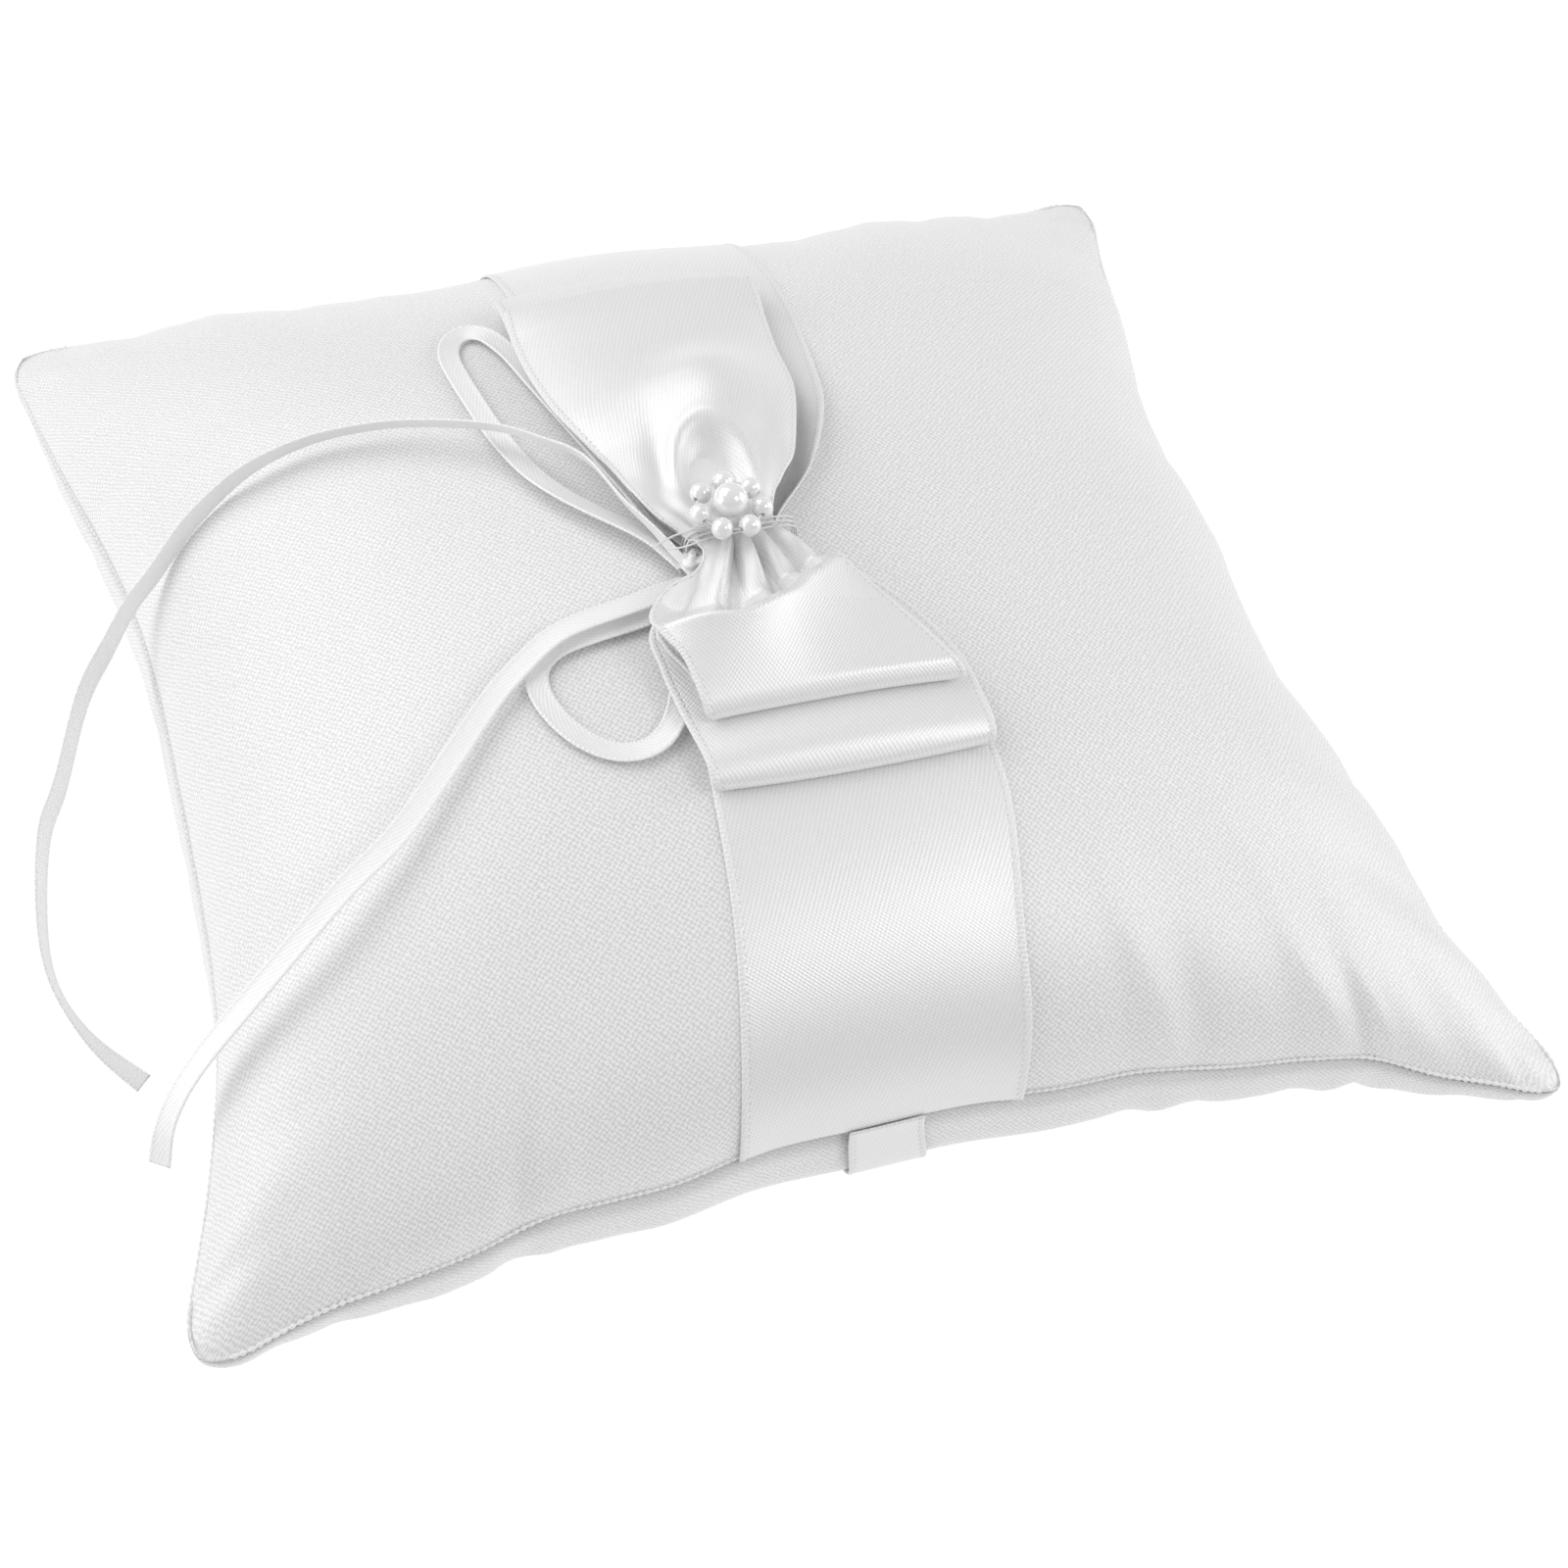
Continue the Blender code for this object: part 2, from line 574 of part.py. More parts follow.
def wide_ribbon(finish):
    """The ribbon over the top: full width at the seams, gathered narrow at the pinch."""
    rows = []
    for k in range(RIBBON_ROWS + 1):
        v = math.sin(math.radians(RIBBON_END * (2 * k / RIBBON_ROWS - 1)))
        y = plan(0.0, v).y
        bump = math.exp(-(((y - PINCH[1]) / PINCH_BUMP) ** 2))
        lift = RIBBON_LIFT + (RIBBON_LIFT_AT_PINCH - RIBBON_LIFT) * bump
        left, right = through(BASE_LEFT, y), through(BASE_RIGHT, y)
        line = []
        for j in range(RIBBON_COLUMNS + 1):
            x = left + (right - left) * j / RIBBON_COLUMNS
            line.append(over(find_u(x, v), v, TOP, lift))
        rows.append(line)
    band("wide_ribbon", rows, RIBBON_THICKNESS, finish)


def spread(away, flare, narrow, wide):
    """Half width of gathered ribbon at a distance from where it is gathered."""
    share = min(max(away / flare, 0.0), 1.0)
    return narrow + (wide - narrow) * math.sin(share * math.pi / 2)


def ramp(y, start, end):
    return min(max((y - start) / (end - start), 0.0), 1.0)


def follow_crest(x, y):
    """Where the row at y lies at x, as rows of the near loop swing round to run along its slanting crest."""
    crest = through(CREST_LINE, x)
    if y >= CREST_Y:
        return PINCH[1] + (crest - PINCH[1]) * (y - PINCH[1]) / (CREST_Y - PINCH[1])
    return crest + (UPPER_ENDS[0] - crest) * (y - CREST_Y) / (UPPER_ENDS[0] - CREST_Y)


def place_on_bow(edges, y, share, slanted):
    """x and y of the point at a share of the width of the row at y."""
    place = y
    for _ in range(CREST_STEPS):
        left, right = through(edges[0], place), through(edges[1], place)
        x = left + (right - left) * share
        if slanted and y < PINCH[1]:
            place = follow_crest(x, y)
    return x, place


def bow_ribbon(name, ends, edges, under, over_table, drops, slanted, finish):
    """One ring of ribbon, flattened and pinched, so it has a near and a far loop."""
    middle = (ends[0] + ends[1]) / 2
    half_length = (ends[1] - ends[0]) / 2
    rows = []
    for k in range(BOW_ROWS):
        turn = 2 * math.pi * (k + 0.5) / BOW_ROWS
        y = middle + half_length * math.cos(turn)
        blend = math.tanh(BOW_TURN_SHARPNESS * math.sin(turn))
        line = []
        for j in range(BOW_COLUMNS + 1):
            share = j / BOW_COLUMNS
            x, place = place_on_bow(edges, y, share, slanted)
            right_side = max(2 * share - 1, 0.0)
            lies_down = right_side**3 * ramp(y, *EDGE_DROP_FROM) * (1 - ramp(y, *EDGE_DROP_TO))
            low = through(under, place) - drops[0] * lies_down
            high = through(over_table, y) - drops[1] * lies_down
            line.append(over_xy(x, place, (high + low) / 2 + (high - low) / 2 * blend))
        rows.append(line)
    band(name, rows, RIBBON_THICKNESS, finish, closed=True)


def hand_strap(finish):
    """The strap along the underside, its ends standing out over the front and back seams."""
    rows = []
    for k in range(STRAP_ROWS + 1):
        turn = 180 * k / STRAP_ROWS - 90
        v = math.sin(math.radians(turn))
        near_seam = math.exp(-(((90 - abs(turn)) / STRAP_STAND_OFF) ** 2))
        lift = STRAP_LIFT + (STRAP_LIFT_AT_SEAM - STRAP_LIFT) * near_seam
        line = []
        for j in range(3):
            x = STRAP_X + STRAP_WIDTH * (j - 1) / 2
            line.append(over(find_u(x, v), v, UNDER, lift))
        rows.append(line)
    band("hand_strap", rows, STRAP_THICKNESS, finish)


# Narrow tie ribbon


def smooth_route(points, step):
    """Catmull-Rom curve through (point, roll) pairs, with a sample about every step."""
    samples = []
    count = len(points)
    for i in range(count - 1):
        a, b, c, d = (points[min(max(i + k, 0), count - 1)] for k in (-1, 0, 1, 2))
        pieces = max(1, round((c[0] - b[0]).length / step))
        for k in range(pieces):
            t = k / pieces
            bend = (2 * a[0] - 5 * b[0] + 4 * c[0] - d[0]) * t * t
            bend += (3 * b[0] - a[0] - 3 * c[0] + d[0]) * t**3
            place = b[0] + ((c[0] - a[0]) * t + bend) / 2
            samples.append((place, b[1] + (c[1] - b[1]) * t))
    samples.append(points[-1])
    return samples


def tie_ribbon(name, over_points, beyond_points, both_ends_knotted, finish):
    """A stretch of the narrow ribbon along its route, crumpled narrower at the knot."""
    route = [(over_xy(x, y, lift), roll) for x, y, lift, roll in over_points]
    route += [(Vector((x, y, z)), roll) for x, y, z, roll in beyond_points]
    samples = smooth_route(route, TIE_STEP)
    places = [place for place, roll in samples]
    run = [0.0]
    for a, b in zip(places, places[1:]):
        run.append(run[-1] + (b - a).length)
    rows = []
    for i, (place, roll) in enumerate(samples):
        along = (places[min(i + 1, len(places) - 1)] - places[max(i - 1, 0)]).normalized()
        flat = along.cross(Vector((0.0, 0.0, 1.0))).normalized()
        upright = flat.cross(along)
        angle = math.radians(roll)
        across = flat * math.cos(angle) + upright * math.sin(angle)
        from_knot = min(run[i], run[-1] - run[i]) if both_ends_knotted else run[i]
        half = spread(from_knot, TIE_TAPER, TIE_WIDTH_AT_KNOT / 2, TIE_WIDTH / 2)
        rows.append([place - across * half, place + across * half])
    band(name, rows, TIE_THICKNESS, finish)


def tie_knot(finish):
    """The small hard knot beside the pinch."""
    centre = over_xy(*KNOT)
    rings = []
    for k in range(KNOT_RINGS):
        tilt = math.pi * (k + 0.5) / KNOT_RINGS
        ring = []
        for m in range(KNOT_SIDES):
            turn = 2 * math.pi * m / KNOT_SIDES
            ring.append(centre + Vector((
                KNOT_HALF[0] * math.sin(tilt) * math.cos(turn),
                KNOT_HALF[1] * math.sin(tilt) * math.sin(turn),
                KNOT_HALF[2] * math.cos(tilt),
            )))
        rings.append(ring)
    rings_solid("tie_ribbon_knot", rings, finish)


# Thread and pearls


def gather_thread(finish):
    """One length of thread: a loose end, the turns round the pinch, and the other loose end."""
    steps = WINDING_TURNS * 24
    winding = []
    for k in range(steps + 1):
        turn = math.radians(WINDING_START + 15 * k)
        y = PINCH[1] + WINDING_PITCH * WINDING_TURNS * (0.5 - k / steps)
        centre = over_xy(PINCH[0], y, WINDING_LIFT)
        c, s = math.cos(turn), math.sin(turn)
        winding.append(centre + Vector((
            WINDING_HALF[0] * math.copysign(abs(c) ** 0.5, c),
            0.0,
            WINDING_HALF[1] * math.copysign(abs(s) ** 0.5, s),
        )))
    first, last = ([over_xy(*point) for point in route] for route in LOOSE_ENDS)
    tube("gather_thread", first[::-1] + winding + last, THREAD_RADIUS, 5, finish)


def tack_thread(finish):
    """A row of zigzag stitches that holds the bow down on the wide ribbon, behind the pinch."""
    places = []
    for k in range(TACK_STITCHES + 1):
        x = PINCH[0] + TACK_LENGTH * (k / TACK_STITCHES - 0.5)
        y = PINCH[1] + TACK_BEHIND + (TACK_LEAN if k % 2 else 0.0)
        places.append(over_xy(x, y, TACK_LIFT))
    tube("tack_thread", places, BEAD_THREAD_RADIUS, 5, finish)


def pearl(name, centre, radius, axis, finish):
    """A bored bead: its outline turned about the bore."""
    axis = axis.normalized()
    side = axis.orthogonal().normalized()
    other = axis.cross(side)
    start = math.asin(BORE_RADIUS / radius)
    rings = []
    for k in range(PEARL_RINGS + 1):
        tilt = start + (math.pi - 2 * start) * k / PEARL_RINGS
        ring = []
        for m in range(PEARL_SIDES):
            turn = 2 * math.pi * m / PEARL_SIDES
            outward = side * math.cos(turn) + other * math.sin(turn)
            ring.append(centre + (axis * math.cos(tilt) + outward * math.sin(tilt)) * radius)
        rings.append(ring)
    rings_solid(name, rings, finish, joined_ends=True)


def pearl_flower(pearl_finish, thread_finish):
    top = over_xy(*FLOWER, 0.0)
    pearl(
        "centre_pearl", top + Vector((0, 0, CENTRE_LIFT)), CENTRE_PEARL_RADIUS,
        Vector(CENTRE_BORE_AXIS), pearl_finish,
    )
    middle = top + Vector((0, 0, PETAL_LIFT))
    for k in range(PETAL_COUNT):
        turn = math.radians(PETAL_PHASE + 360 * k / PETAL_COUNT)
        outward = Vector((math.cos(turn), math.sin(turn), 0.0))
        tangent = Vector((-math.sin(turn), math.cos(turn), 0.0))
        place = middle + outward * PETAL_RING
        pearl(f"petal_pearl_{k + 1}", place, PETAL_RADIUS, tangent, pearl_finish)
    count = PETAL_COUNT * 6
    turns = [2 * math.pi * k / count for k in range(count)]
    ring = [middle + Vector((math.cos(t), math.sin(t), 0.0)) * PETAL_RING for t in turns]
    tube("bead_thread", ring, BEAD_THREAD_RADIUS, 4, thread_finish, closed=True)


def main():
    clear_scene()
    satin = material("cover_satin", (0.86, 0.86, 0.85), 0.45)
    ribbon = material("ribbon_satin", (0.90, 0.90, 0.89), 0.32)
    fibre = material("fibre", (0.93, 0.93, 0.92), 0.95)
    thread = material("thread", (0.88, 0.88, 0.87), 0.6)
    nacre = material("pearl", (0.91, 0.90, 0.88), 0.12)
    cover_panel("top_panel", TOP, satin)
    cover_panel("bottom_panel", UNDER, satin)
    fibre_filling(fibre)
    seam_threads(thread)
    wide_ribbon(ribbon)
    bow_ribbon(
        "bow_lower_ribbon", LOWER_ENDS, (LOWER_LEFT, LOWER_RIGHT), LOWER_UNDER, LOWER_OVER,
        LOWER_EDGE_DROPS, False, ribbon,
    )
    bow_ribbon(
        "bow_upper_ribbon", UPPER_ENDS, (UPPER_LEFT, UPPER_RIGHT), UPPER_UNDER, UPPER_OVER,
        UPPER_EDGE_DROPS, True, ribbon,
    )
    hand_strap(ribbon)
    tie_knot(ribbon)
    tie_ribbon("tie_ribbon_back_tail", BACK_TAIL_OVER, BACK_TAIL_BEYOND, False, ribbon)
    tie_ribbon("tie_ribbon_back_loop", BACK_LOOP, [], True, ribbon)
    tie_ribbon("tie_ribbon_front_tail", FRONT_TAIL_OVER, FRONT_TAIL_BEYOND, False, ribbon)
    tie_ribbon("tie_ribbon_front_loop", FRONT_LOOP, [], True, ribbon)
    gather_thread(thread)
    tack_thread(thread)
    pearl_flower(nacre, thread)


main()
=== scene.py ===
"""Looks of the ring bearer pillow: a satin cushion with a wide ribbon, a pinched bow with a pearl flower,
a narrow ribbon tied in a bow, and a hand strap underneath.

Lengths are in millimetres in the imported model's own frame until MM turns them into metres.
"""

import math

import bpy
import numpy as np
from mathutils import Matrix, Vector


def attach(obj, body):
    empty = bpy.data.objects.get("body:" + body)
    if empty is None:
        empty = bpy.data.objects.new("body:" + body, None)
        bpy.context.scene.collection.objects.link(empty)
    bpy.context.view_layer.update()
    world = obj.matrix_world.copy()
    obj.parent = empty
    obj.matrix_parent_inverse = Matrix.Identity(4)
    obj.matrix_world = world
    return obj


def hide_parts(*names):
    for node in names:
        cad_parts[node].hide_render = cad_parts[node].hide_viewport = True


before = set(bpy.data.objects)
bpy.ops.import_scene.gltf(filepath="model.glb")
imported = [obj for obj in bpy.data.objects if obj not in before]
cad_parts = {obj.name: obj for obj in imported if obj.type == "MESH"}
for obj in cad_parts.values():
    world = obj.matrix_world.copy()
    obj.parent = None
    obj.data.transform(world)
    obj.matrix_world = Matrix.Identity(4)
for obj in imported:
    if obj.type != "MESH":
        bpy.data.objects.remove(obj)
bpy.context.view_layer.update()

MM = 0.001
TOP = 1
UNDER = -1

# ---------------- cover shape, as the CAD model has it

CORNER_TIPS = {  # (x, y, height of the seam) of each sewn corner before rounding, by its sign in X and in Y
    (-1, -1): (-94.5, -88.0, 26.5),
    (1, -1): (93.0, -93.0, 21.5),
    (1, 1): (91.0, 91.0, 24.5),
    (-1, 1): (-91.0, 89.5, 26.0),
}
HALF_SPAN = 89.0
FRONT_PULL_IN = 15.2
RIGHT_PULL_IN = 17.4
BACK_PULL_IN = 14.0
LEFT_PULL_IN = 15.0
LEFT_PULL_LEAN = 0.25  # the left side is pulled in more towards the front
PULL_IN_POWER = 0.9
SEAM_RISE = 6.8
CROWN_RISE = 32.3
UNDER_DROP = 36.0
DOME_POWER = 0.45
SEAM_SOFTENING = 0.012  # larger values let the top panel leave the seam less steeply
CORNER_RADIUS = 12.0
STRAP_X = -1.0
CHANNEL_DEPTH = 0.8  # the strap presses a shallow channel into the underside
CHANNEL_HALF = 5.85
CHANNEL_SLOPE = 2.6
FRONT_WAVE = [  # (x, how far the front seam wanders up and in)
    (-89, 0), (-75, 0.5), (-65, -0.5), (-56, -0.9), (-46, 0.1), (-38, -0.8), (-31, -1.3), (-18, 0.6),
    (-6, 0.7), (8, 1.4), (20, 1.3), (31, 2.7), (44, 2.9), (54, 4), (62, 4.5), (71, 2.4), (81, 1.6), (89, 0),
]
RIPPLE = 0.8
RIPPLE_RATES = {"right": (0.13, 0.8), "back": (0.12, 2.0), "left": (0.09, -0.6)}  # (radians a mm, start)
WAVE_SHARE = 0.6  # share of a seam's wander that goes sideways, and share that goes upwards
WAVE_FADE = 3
SOLVE_ROUNDS = 14


def share01(value):
    return np.clip(value, 0, 1)


def hump(value, width):
    """1 at value 0, fading to nothing a few widths away."""
    return np.exp(-((value / width) ** 2))


def through(points, x):
    """Values at x on a Catmull-Rom curve through (x, value) points."""
    places = np.array([p[0] for p in points], float)
    values = np.array([p[1] for p in points], float)
    slopes = np.gradient(values, places)
    x = np.clip(x, places[0], places[-1])
    k = np.clip(np.searchsorted(places, x, side="right") - 1, 0, len(places) - 2)
    step = places[k + 1] - places[k]
    t = (x - places[k]) / step
    a = values[k] * (2 * t**3 - 3 * t**2 + 1) + values[k + 1] * (3 * t**2 - 2 * t**3)
    return a + step * (slopes[k] * (t**3 - 2 * t**2 + t) + slopes[k + 1] * (t**3 - t**2))


def round_corners(u, v):
    """Cover parameters with the square's corners drawn in to arcs."""
    reach = CORNER_RADIUS / HALF_SPAN
    past_u = np.maximum(np.abs(u) - (1 - reach), 0.0) / reach
    past_v = np.maximum(np.abs(v) - (1 - reach), 0.0) / reach
    round_u = u - np.sign(u) * reach * past_u * (1 - np.sqrt(1 - past_v**2 / 2))
    round_v = v - np.sign(v) * reach * past_v * (1 - np.sqrt(1 - past_u**2 / 2))
    return round_u, round_v


def ripple(side, along):
    """Wander of one of the seams that ripple evenly."""
    rate, start = RIPPLE_RATES[side]
    return RIPPLE * np.sin(rate * along + start)


def plan(u, v):
    """Points of the seam surface at cover parameters u and v, each from -1 to 1."""
    u, v = round_corners(*np.broadcast_arrays(np.asarray(u, float), np.asarray(v, float)))
    point = np.zeros(u.shape + (3,))
    for (sign_x, sign_y), tip in CORNER_TIPS.items():
        point += np.array(tip) * ((1 + sign_x * u) * (1 + sign_y * v) / 4)[..., None]
    along_x = np.maximum(1 - u * u, 0.0) ** PULL_IN_POWER
    along_y = np.maximum(1 - v * v, 0.0) ** PULL_IN_POWER
    left_pull = LEFT_PULL_IN * (1 - LEFT_PULL_LEAN * v)
    point[..., 0] += (left_pull * (1 - u) - RIGHT_PULL_IN * (1 + u)) / 2 * along_y
    point[..., 1] += (FRONT_PULL_IN * (1 - v) - BACK_PULL_IN * (1 + v)) / 2 * along_x
    point[..., 2] += SEAM_RISE * (1 - (u * v) ** 2)
    front = through(FRONT_WAVE, point[..., 0]) * share01((1 - v) / 2) ** WAVE_FADE
    right = ripple("right", point[..., 1]) * share01((1 + u) / 2) ** WAVE_FADE
    back = ripple("back", point[..., 0]) * share01((1 + v) / 2) ** WAVE_FADE
    left = ripple("left", point[..., 1]) * share01((1 - u) / 2) ** WAVE_FADE
    point[..., 0] += WAVE_SHARE * (left + right)
    point[..., 1] += WAVE_SHARE * (front + back)
    point[..., 2] += WAVE_SHARE * (front + right + back + left)
    return point


def bulge(u, v, side):
    """Rise of the cover, from 0 at the seams to 1 in the middle."""
    softening = SEAM_SOFTENING if side == TOP else 0.0
    inward = np.maximum((1 - u * u) * (1 - v * v), 0.0)
    rim = softening**DOME_POWER
    return ((inward + softening) ** DOME_POWER - rim) / ((1 + softening) ** DOME_POWER - rim)


def skin(u, v, side):
    """Points on the outer face of the cover."""
    point = plan(u, v)
    u, v = np.broadcast_arrays(np.asarray(u, float), np.asarray(v, float))
    dome = bulge(u, v, side)
    if side == TOP:
        point[..., 2] += CROWN_RISE * dome
    else:
        past = (np.abs(point[..., 0] - STRAP_X) - CHANNEL_HALF) / CHANNEL_SLOPE
        channel = CHANNEL_DEPTH * (1 - share01(past))
        point[..., 2] = np.maximum(point[..., 2] - UNDER_DROP * dome, channel)
    return point


def unit(vectors):
    return vectors / np.maximum(np.linalg.norm(vectors, axis=-1, keepdims=True), 1e-12)


def skin_normal(u, v, side):
    """Outward directions of the cover's outer face."""
    step = 0.004
    u = np.clip(u, -1 + 2 * step, 1 - 2 * step)
    v = np.clip(v, -1 + 2 * step, 1 - 2 * step)
    along_u = skin(u + step, v, side) - skin(u - step, v, side)
    along_v = skin(u, v + step, side) - skin(u, v - step, side)
    return unit(np.cross(along_u, along_v)) * side


def over(u, v, side, lift):
    """Points lift above the cover's outer face, square to it."""
    return skin(u, v, side) + skin_normal(u, v, side) * np.asarray(lift, float)[..., None]


def find_u(x, v):
    """Cover parameter u of the points of rows v that lie at x."""
    x, v = np.broadcast_arrays(np.asarray(x, float), np.asarray(v, float))
    u = x / HALF_SPAN
    for _ in range(SOLVE_ROUNDS):
        u = u + (x - plan(u, v)[..., 0]) / HALF_SPAN
    return np.clip(u, -1.0, 1.0)


def over_xy(x, y, lift):
    """Points at x and y, lift above the top of the cover."""
    x, y, lift = np.broadcast_arrays(*(np.asarray(a, float) for a in (x, y, lift)))
    u, v = x / HALF_SPAN, y / HALF_SPAN
    for _ in range(SOLVE_ROUNDS):
        flat = plan(u, v)
        u = u + (x - flat[..., 0]) / HALF_SPAN
        v = v + (y - flat[..., 1]) / HALF_SPAN
    height = skin(np.clip(u, -1, 1), np.clip(v, -1, 1), TOP)[..., 2] + lift
    return np.stack([x, y, height], -1)


# ---------------- camera

camera = bpy.data.objects.new("camera", bpy.data.cameras.new("camera"))
bpy.context.scene.collection.objects.link(camera)
bpy.context.scene.camera = camera
camera.data.lens = 64.93
camera.data.sensor_width = 36.0
camera.data.clip_start = 0.01
camera.data.clip_end = 20.0
VIEW_AZIMUTH, VIEW_ELEVATION, VIEW_ROLL = (math.radians(a) for a in (-23.576, 52.288, 8.085))
VIEW_TARGET = Vector((3.92, -13.55, 20.0)) * MM
VIEW_DISTANCE = 395.8 * MM
back = Vector((
    math.sin(VIEW_AZIMUTH) * math.cos(VIEW_ELEVATION),
    -math.cos(VIEW_AZIMUTH) * math.cos(VIEW_ELEVATION),
    math.sin(VIEW_ELEVATION),
))
level = Vector((math.cos(VIEW_AZIMUTH), math.sin(VIEW_AZIMUTH), 0.0))
upright = back.cross(level)
view_x = level * math.cos(VIEW_ROLL) + upright * math.sin(VIEW_ROLL)
view_y = upright * math.cos(VIEW_ROLL) - level * math.sin(VIEW_ROLL)
turn = Matrix((view_x, view_y, back)).transposed().to_4x4()
camera.matrix_world = Matrix.Translation(VIEW_TARGET + back * VIEW_DISTANCE) @ turn


# ---------------- materials


class Nodes:
    """A material's node tree, with short calls for what these materials use."""

    def __init__(self, name):
        self.material = bpy.data.materials.new(name)
        self.material.use_nodes = True
        self.tree = self.material.node_tree
        self.shader = self.tree.nodes["Principled BSDF"]

    def add(self, kind, **values):
        node = self.tree.nodes.new(kind)
        for key, value in values.items():
            setattr(node, key, value)
        return node

    def put(self, socket, value):
        if isinstance(value, bpy.types.NodeSocket):
            self.tree.links.new(value, socket)
        else:
            socket.default_value = value

    def math(self, operation, a, b=0.0, c=0.0):
        node = self.add("ShaderNodeMath", operation=operation)
        for socket, value in zip(node.inputs, (a, b, c)):
            self.put(socket, value)
        return node.outputs[0]

    def times(self, a, b, plus=None):
        return self.math("MULTIPLY", a, b) if plus is None else self.math("MULTIPLY_ADD", a, b, plus)

    def fit(self, value, low, high, to_low=0.0, to_high=1.0):
        node = self.add("ShaderNodeMapRange", interpolation_type="SMOOTHSTEP")
        for socket, item in zip(node.inputs, (value, low, high, to_low, to_high)):
            self.put(socket, item)
        return node.outputs[0]

    def mix(self, share, a, b):
        node = self.add("ShaderNodeMix", data_type="RGBA")
        self.put(node.inputs[0], share)
        self.put(node.inputs[6], a)
        self.put(node.inputs[7], b)
        return node.outputs[2]

    def flat_place(self):
        """(across, along) in millimetres, from the piece's own layout."""
        uv = self.add("ShaderNodeUVMap", uv_map="cloth")
        parts = self.add("ShaderNodeSeparateXYZ")
        self.tree.links.new(uv.outputs[0], parts.inputs[0])
        return parts.outputs[0], parts.outputs[1], uv.outputs[0]

    def place(self):
        """Place in the piece's own axes, in metres."""
        return self.add("ShaderNodeTexCoord").outputs["Object"]

    def noise(self, vector, scale, detail=2.0):
        node = self.add("ShaderNodeTexNoise")
        self.put(node.inputs["Vector"], vector)
        node.inputs["Scale"].default_value = scale
        node.inputs["Detail"].default_value = detail
        return node.outputs[0]

    def wave(self, value, pitch, shift=0.0):
        return self.math("SINE", self.math("MULTIPLY_ADD", value, 2 * math.pi / pitch, shift))

    def bump(self, height, distance, under=None):
        node = self.add("ShaderNodeBump")
        node.inputs["Distance"].default_value = distance * MM
        self.put(node.inputs["Height"], height)
        if under is not None:
            self.put(node.inputs["Normal"], under)
        return node.outputs[0]

    def along_uv(self):
        node = self.add("ShaderNodeTangent", direction_type="UV_MAP", uv_map="cloth")
        self.put(self.shader.inputs["Tangent"], node.outputs[0])

    def finish(self, **values):
        for name, value in values.items():
            self.put(self.shader.inputs[name.replace("_", " ")], value)
        return self.material


def grey(value, warm=0.0):
    return (value + warm, value, value - warm, 1.0)


def cover_satin():
    """Bridal satin: a fine dotted weave, painted darker in the gaps between the threads as painted shade and
    flecked lighter where the threads catch the light as painted glints, with a soft uneven sheen.
    """
    pitch = 0.84
    n = Nodes("cover_satin")
    across, along, place = n.flat_place()
    across = n.times(n.noise(place, 0.9), 0.9, across)
    along = n.times(n.noise(place, 0.8), 0.9, along)
    dots = n.times(n.times(n.wave(across, pitch), n.wave(along, pitch)), 0.5, 0.5)
    slubs_and_glints = n.noise(place, 2.6)
    patches = n.noise(place, 0.055)
    shade = n.times(slubs_and_glints, 0.5, n.times(dots, 0.5))
    # Painted shade and glints: the base colour follows the weave's height, darker in the gaps between threads
    # and lighter on the thread tops and on the noise flecks.
    base = n.mix(n.fit(shade, 0.28, 0.72), grey(0.66), grey(0.88, 0.001))
    rough = n.times(patches, 0.10, 0.38)
    n.along_uv()
    return n.finish(
        Base_Color=base, Roughness=rough, IOR=1.6, Specular_IOR_Level=0.75, Anisotropic=0.3,
        Sheen_Weight=0.15, Sheen_Roughness=0.45, Normal=n.bump(shade, 0.05),
    )


def ribbon_satin(name, width, pitch_across, pitch_along, gap=1.0, gloss=0.36, hole_shade=0.35, pale=0.83):
    """Satin ribbon: fine floats lengthwise, painted darker between the floats as painted shade, and woven
    selvedges with a row of small holes beside them, the holes painted dark grey as painted shade.
    """
    n = Nodes(name)
    across, along, place = n.flat_place()
    slant = n.times(along, 0.5 * pitch_across / pitch_along, across)
    floats = n.times(n.wave(slant, pitch_across), n.wave(along, pitch_along))
    floats = n.times(floats, 0.5, 0.5)
    from_edge = n.math("SUBTRACT", width / 2, n.math("ABSOLUTE", across))
    in_selvedge = n.fit(from_edge, gap * 0.92, gap * 0.72)
    ribs = n.times(n.wave(along, 0.62), 0.5, 0.5)
    height = n.math("ADD", n.times(floats, n.math("SUBTRACT", 1.0, in_selvedge)),
                    n.times(n.times(ribs, 1.6), in_selvedge))
    near_holes = n.math("ABSOLUTE", n.math("SUBTRACT", from_edge, gap))
    holes = n.times(n.fit(near_holes, 0.20, 0.05), n.fit(n.wave(along, 0.9), 0.0, 0.7))
    height = n.times(holes, -5.0 * hole_shade, height)
    slubs_and_glints = n.noise(place, 1.4)
    shade = n.times(slubs_and_glints, 0.25, n.times(floats, 0.75))
    # Painted shade and glints: the base colour is darker between the floats and lighter on them and on the
    # noise flecks.
    base = n.mix(n.fit(shade, 0.10, 0.80), grey(pale - 0.13), grey(pale, 0.001))
    # Painted shade: the small holes beside the selvedges are painted towards dark grey, by hole_shade.
    base = n.mix(n.times(holes, hole_shade), base, grey(0.45))
    rough = n.times(in_selvedge, 0.22, n.times(slubs_and_glints, 0.06, gloss))
    n.along_uv()
    return n.finish(
        Base_Color=base, Roughness=rough, IOR=2.2, Specular_IOR_Level=0.9, Anisotropic=0.6,
        Sheen_Weight=0.06, Sheen_Roughness=0.4, Normal=n.bump(height, 0.030),
    )


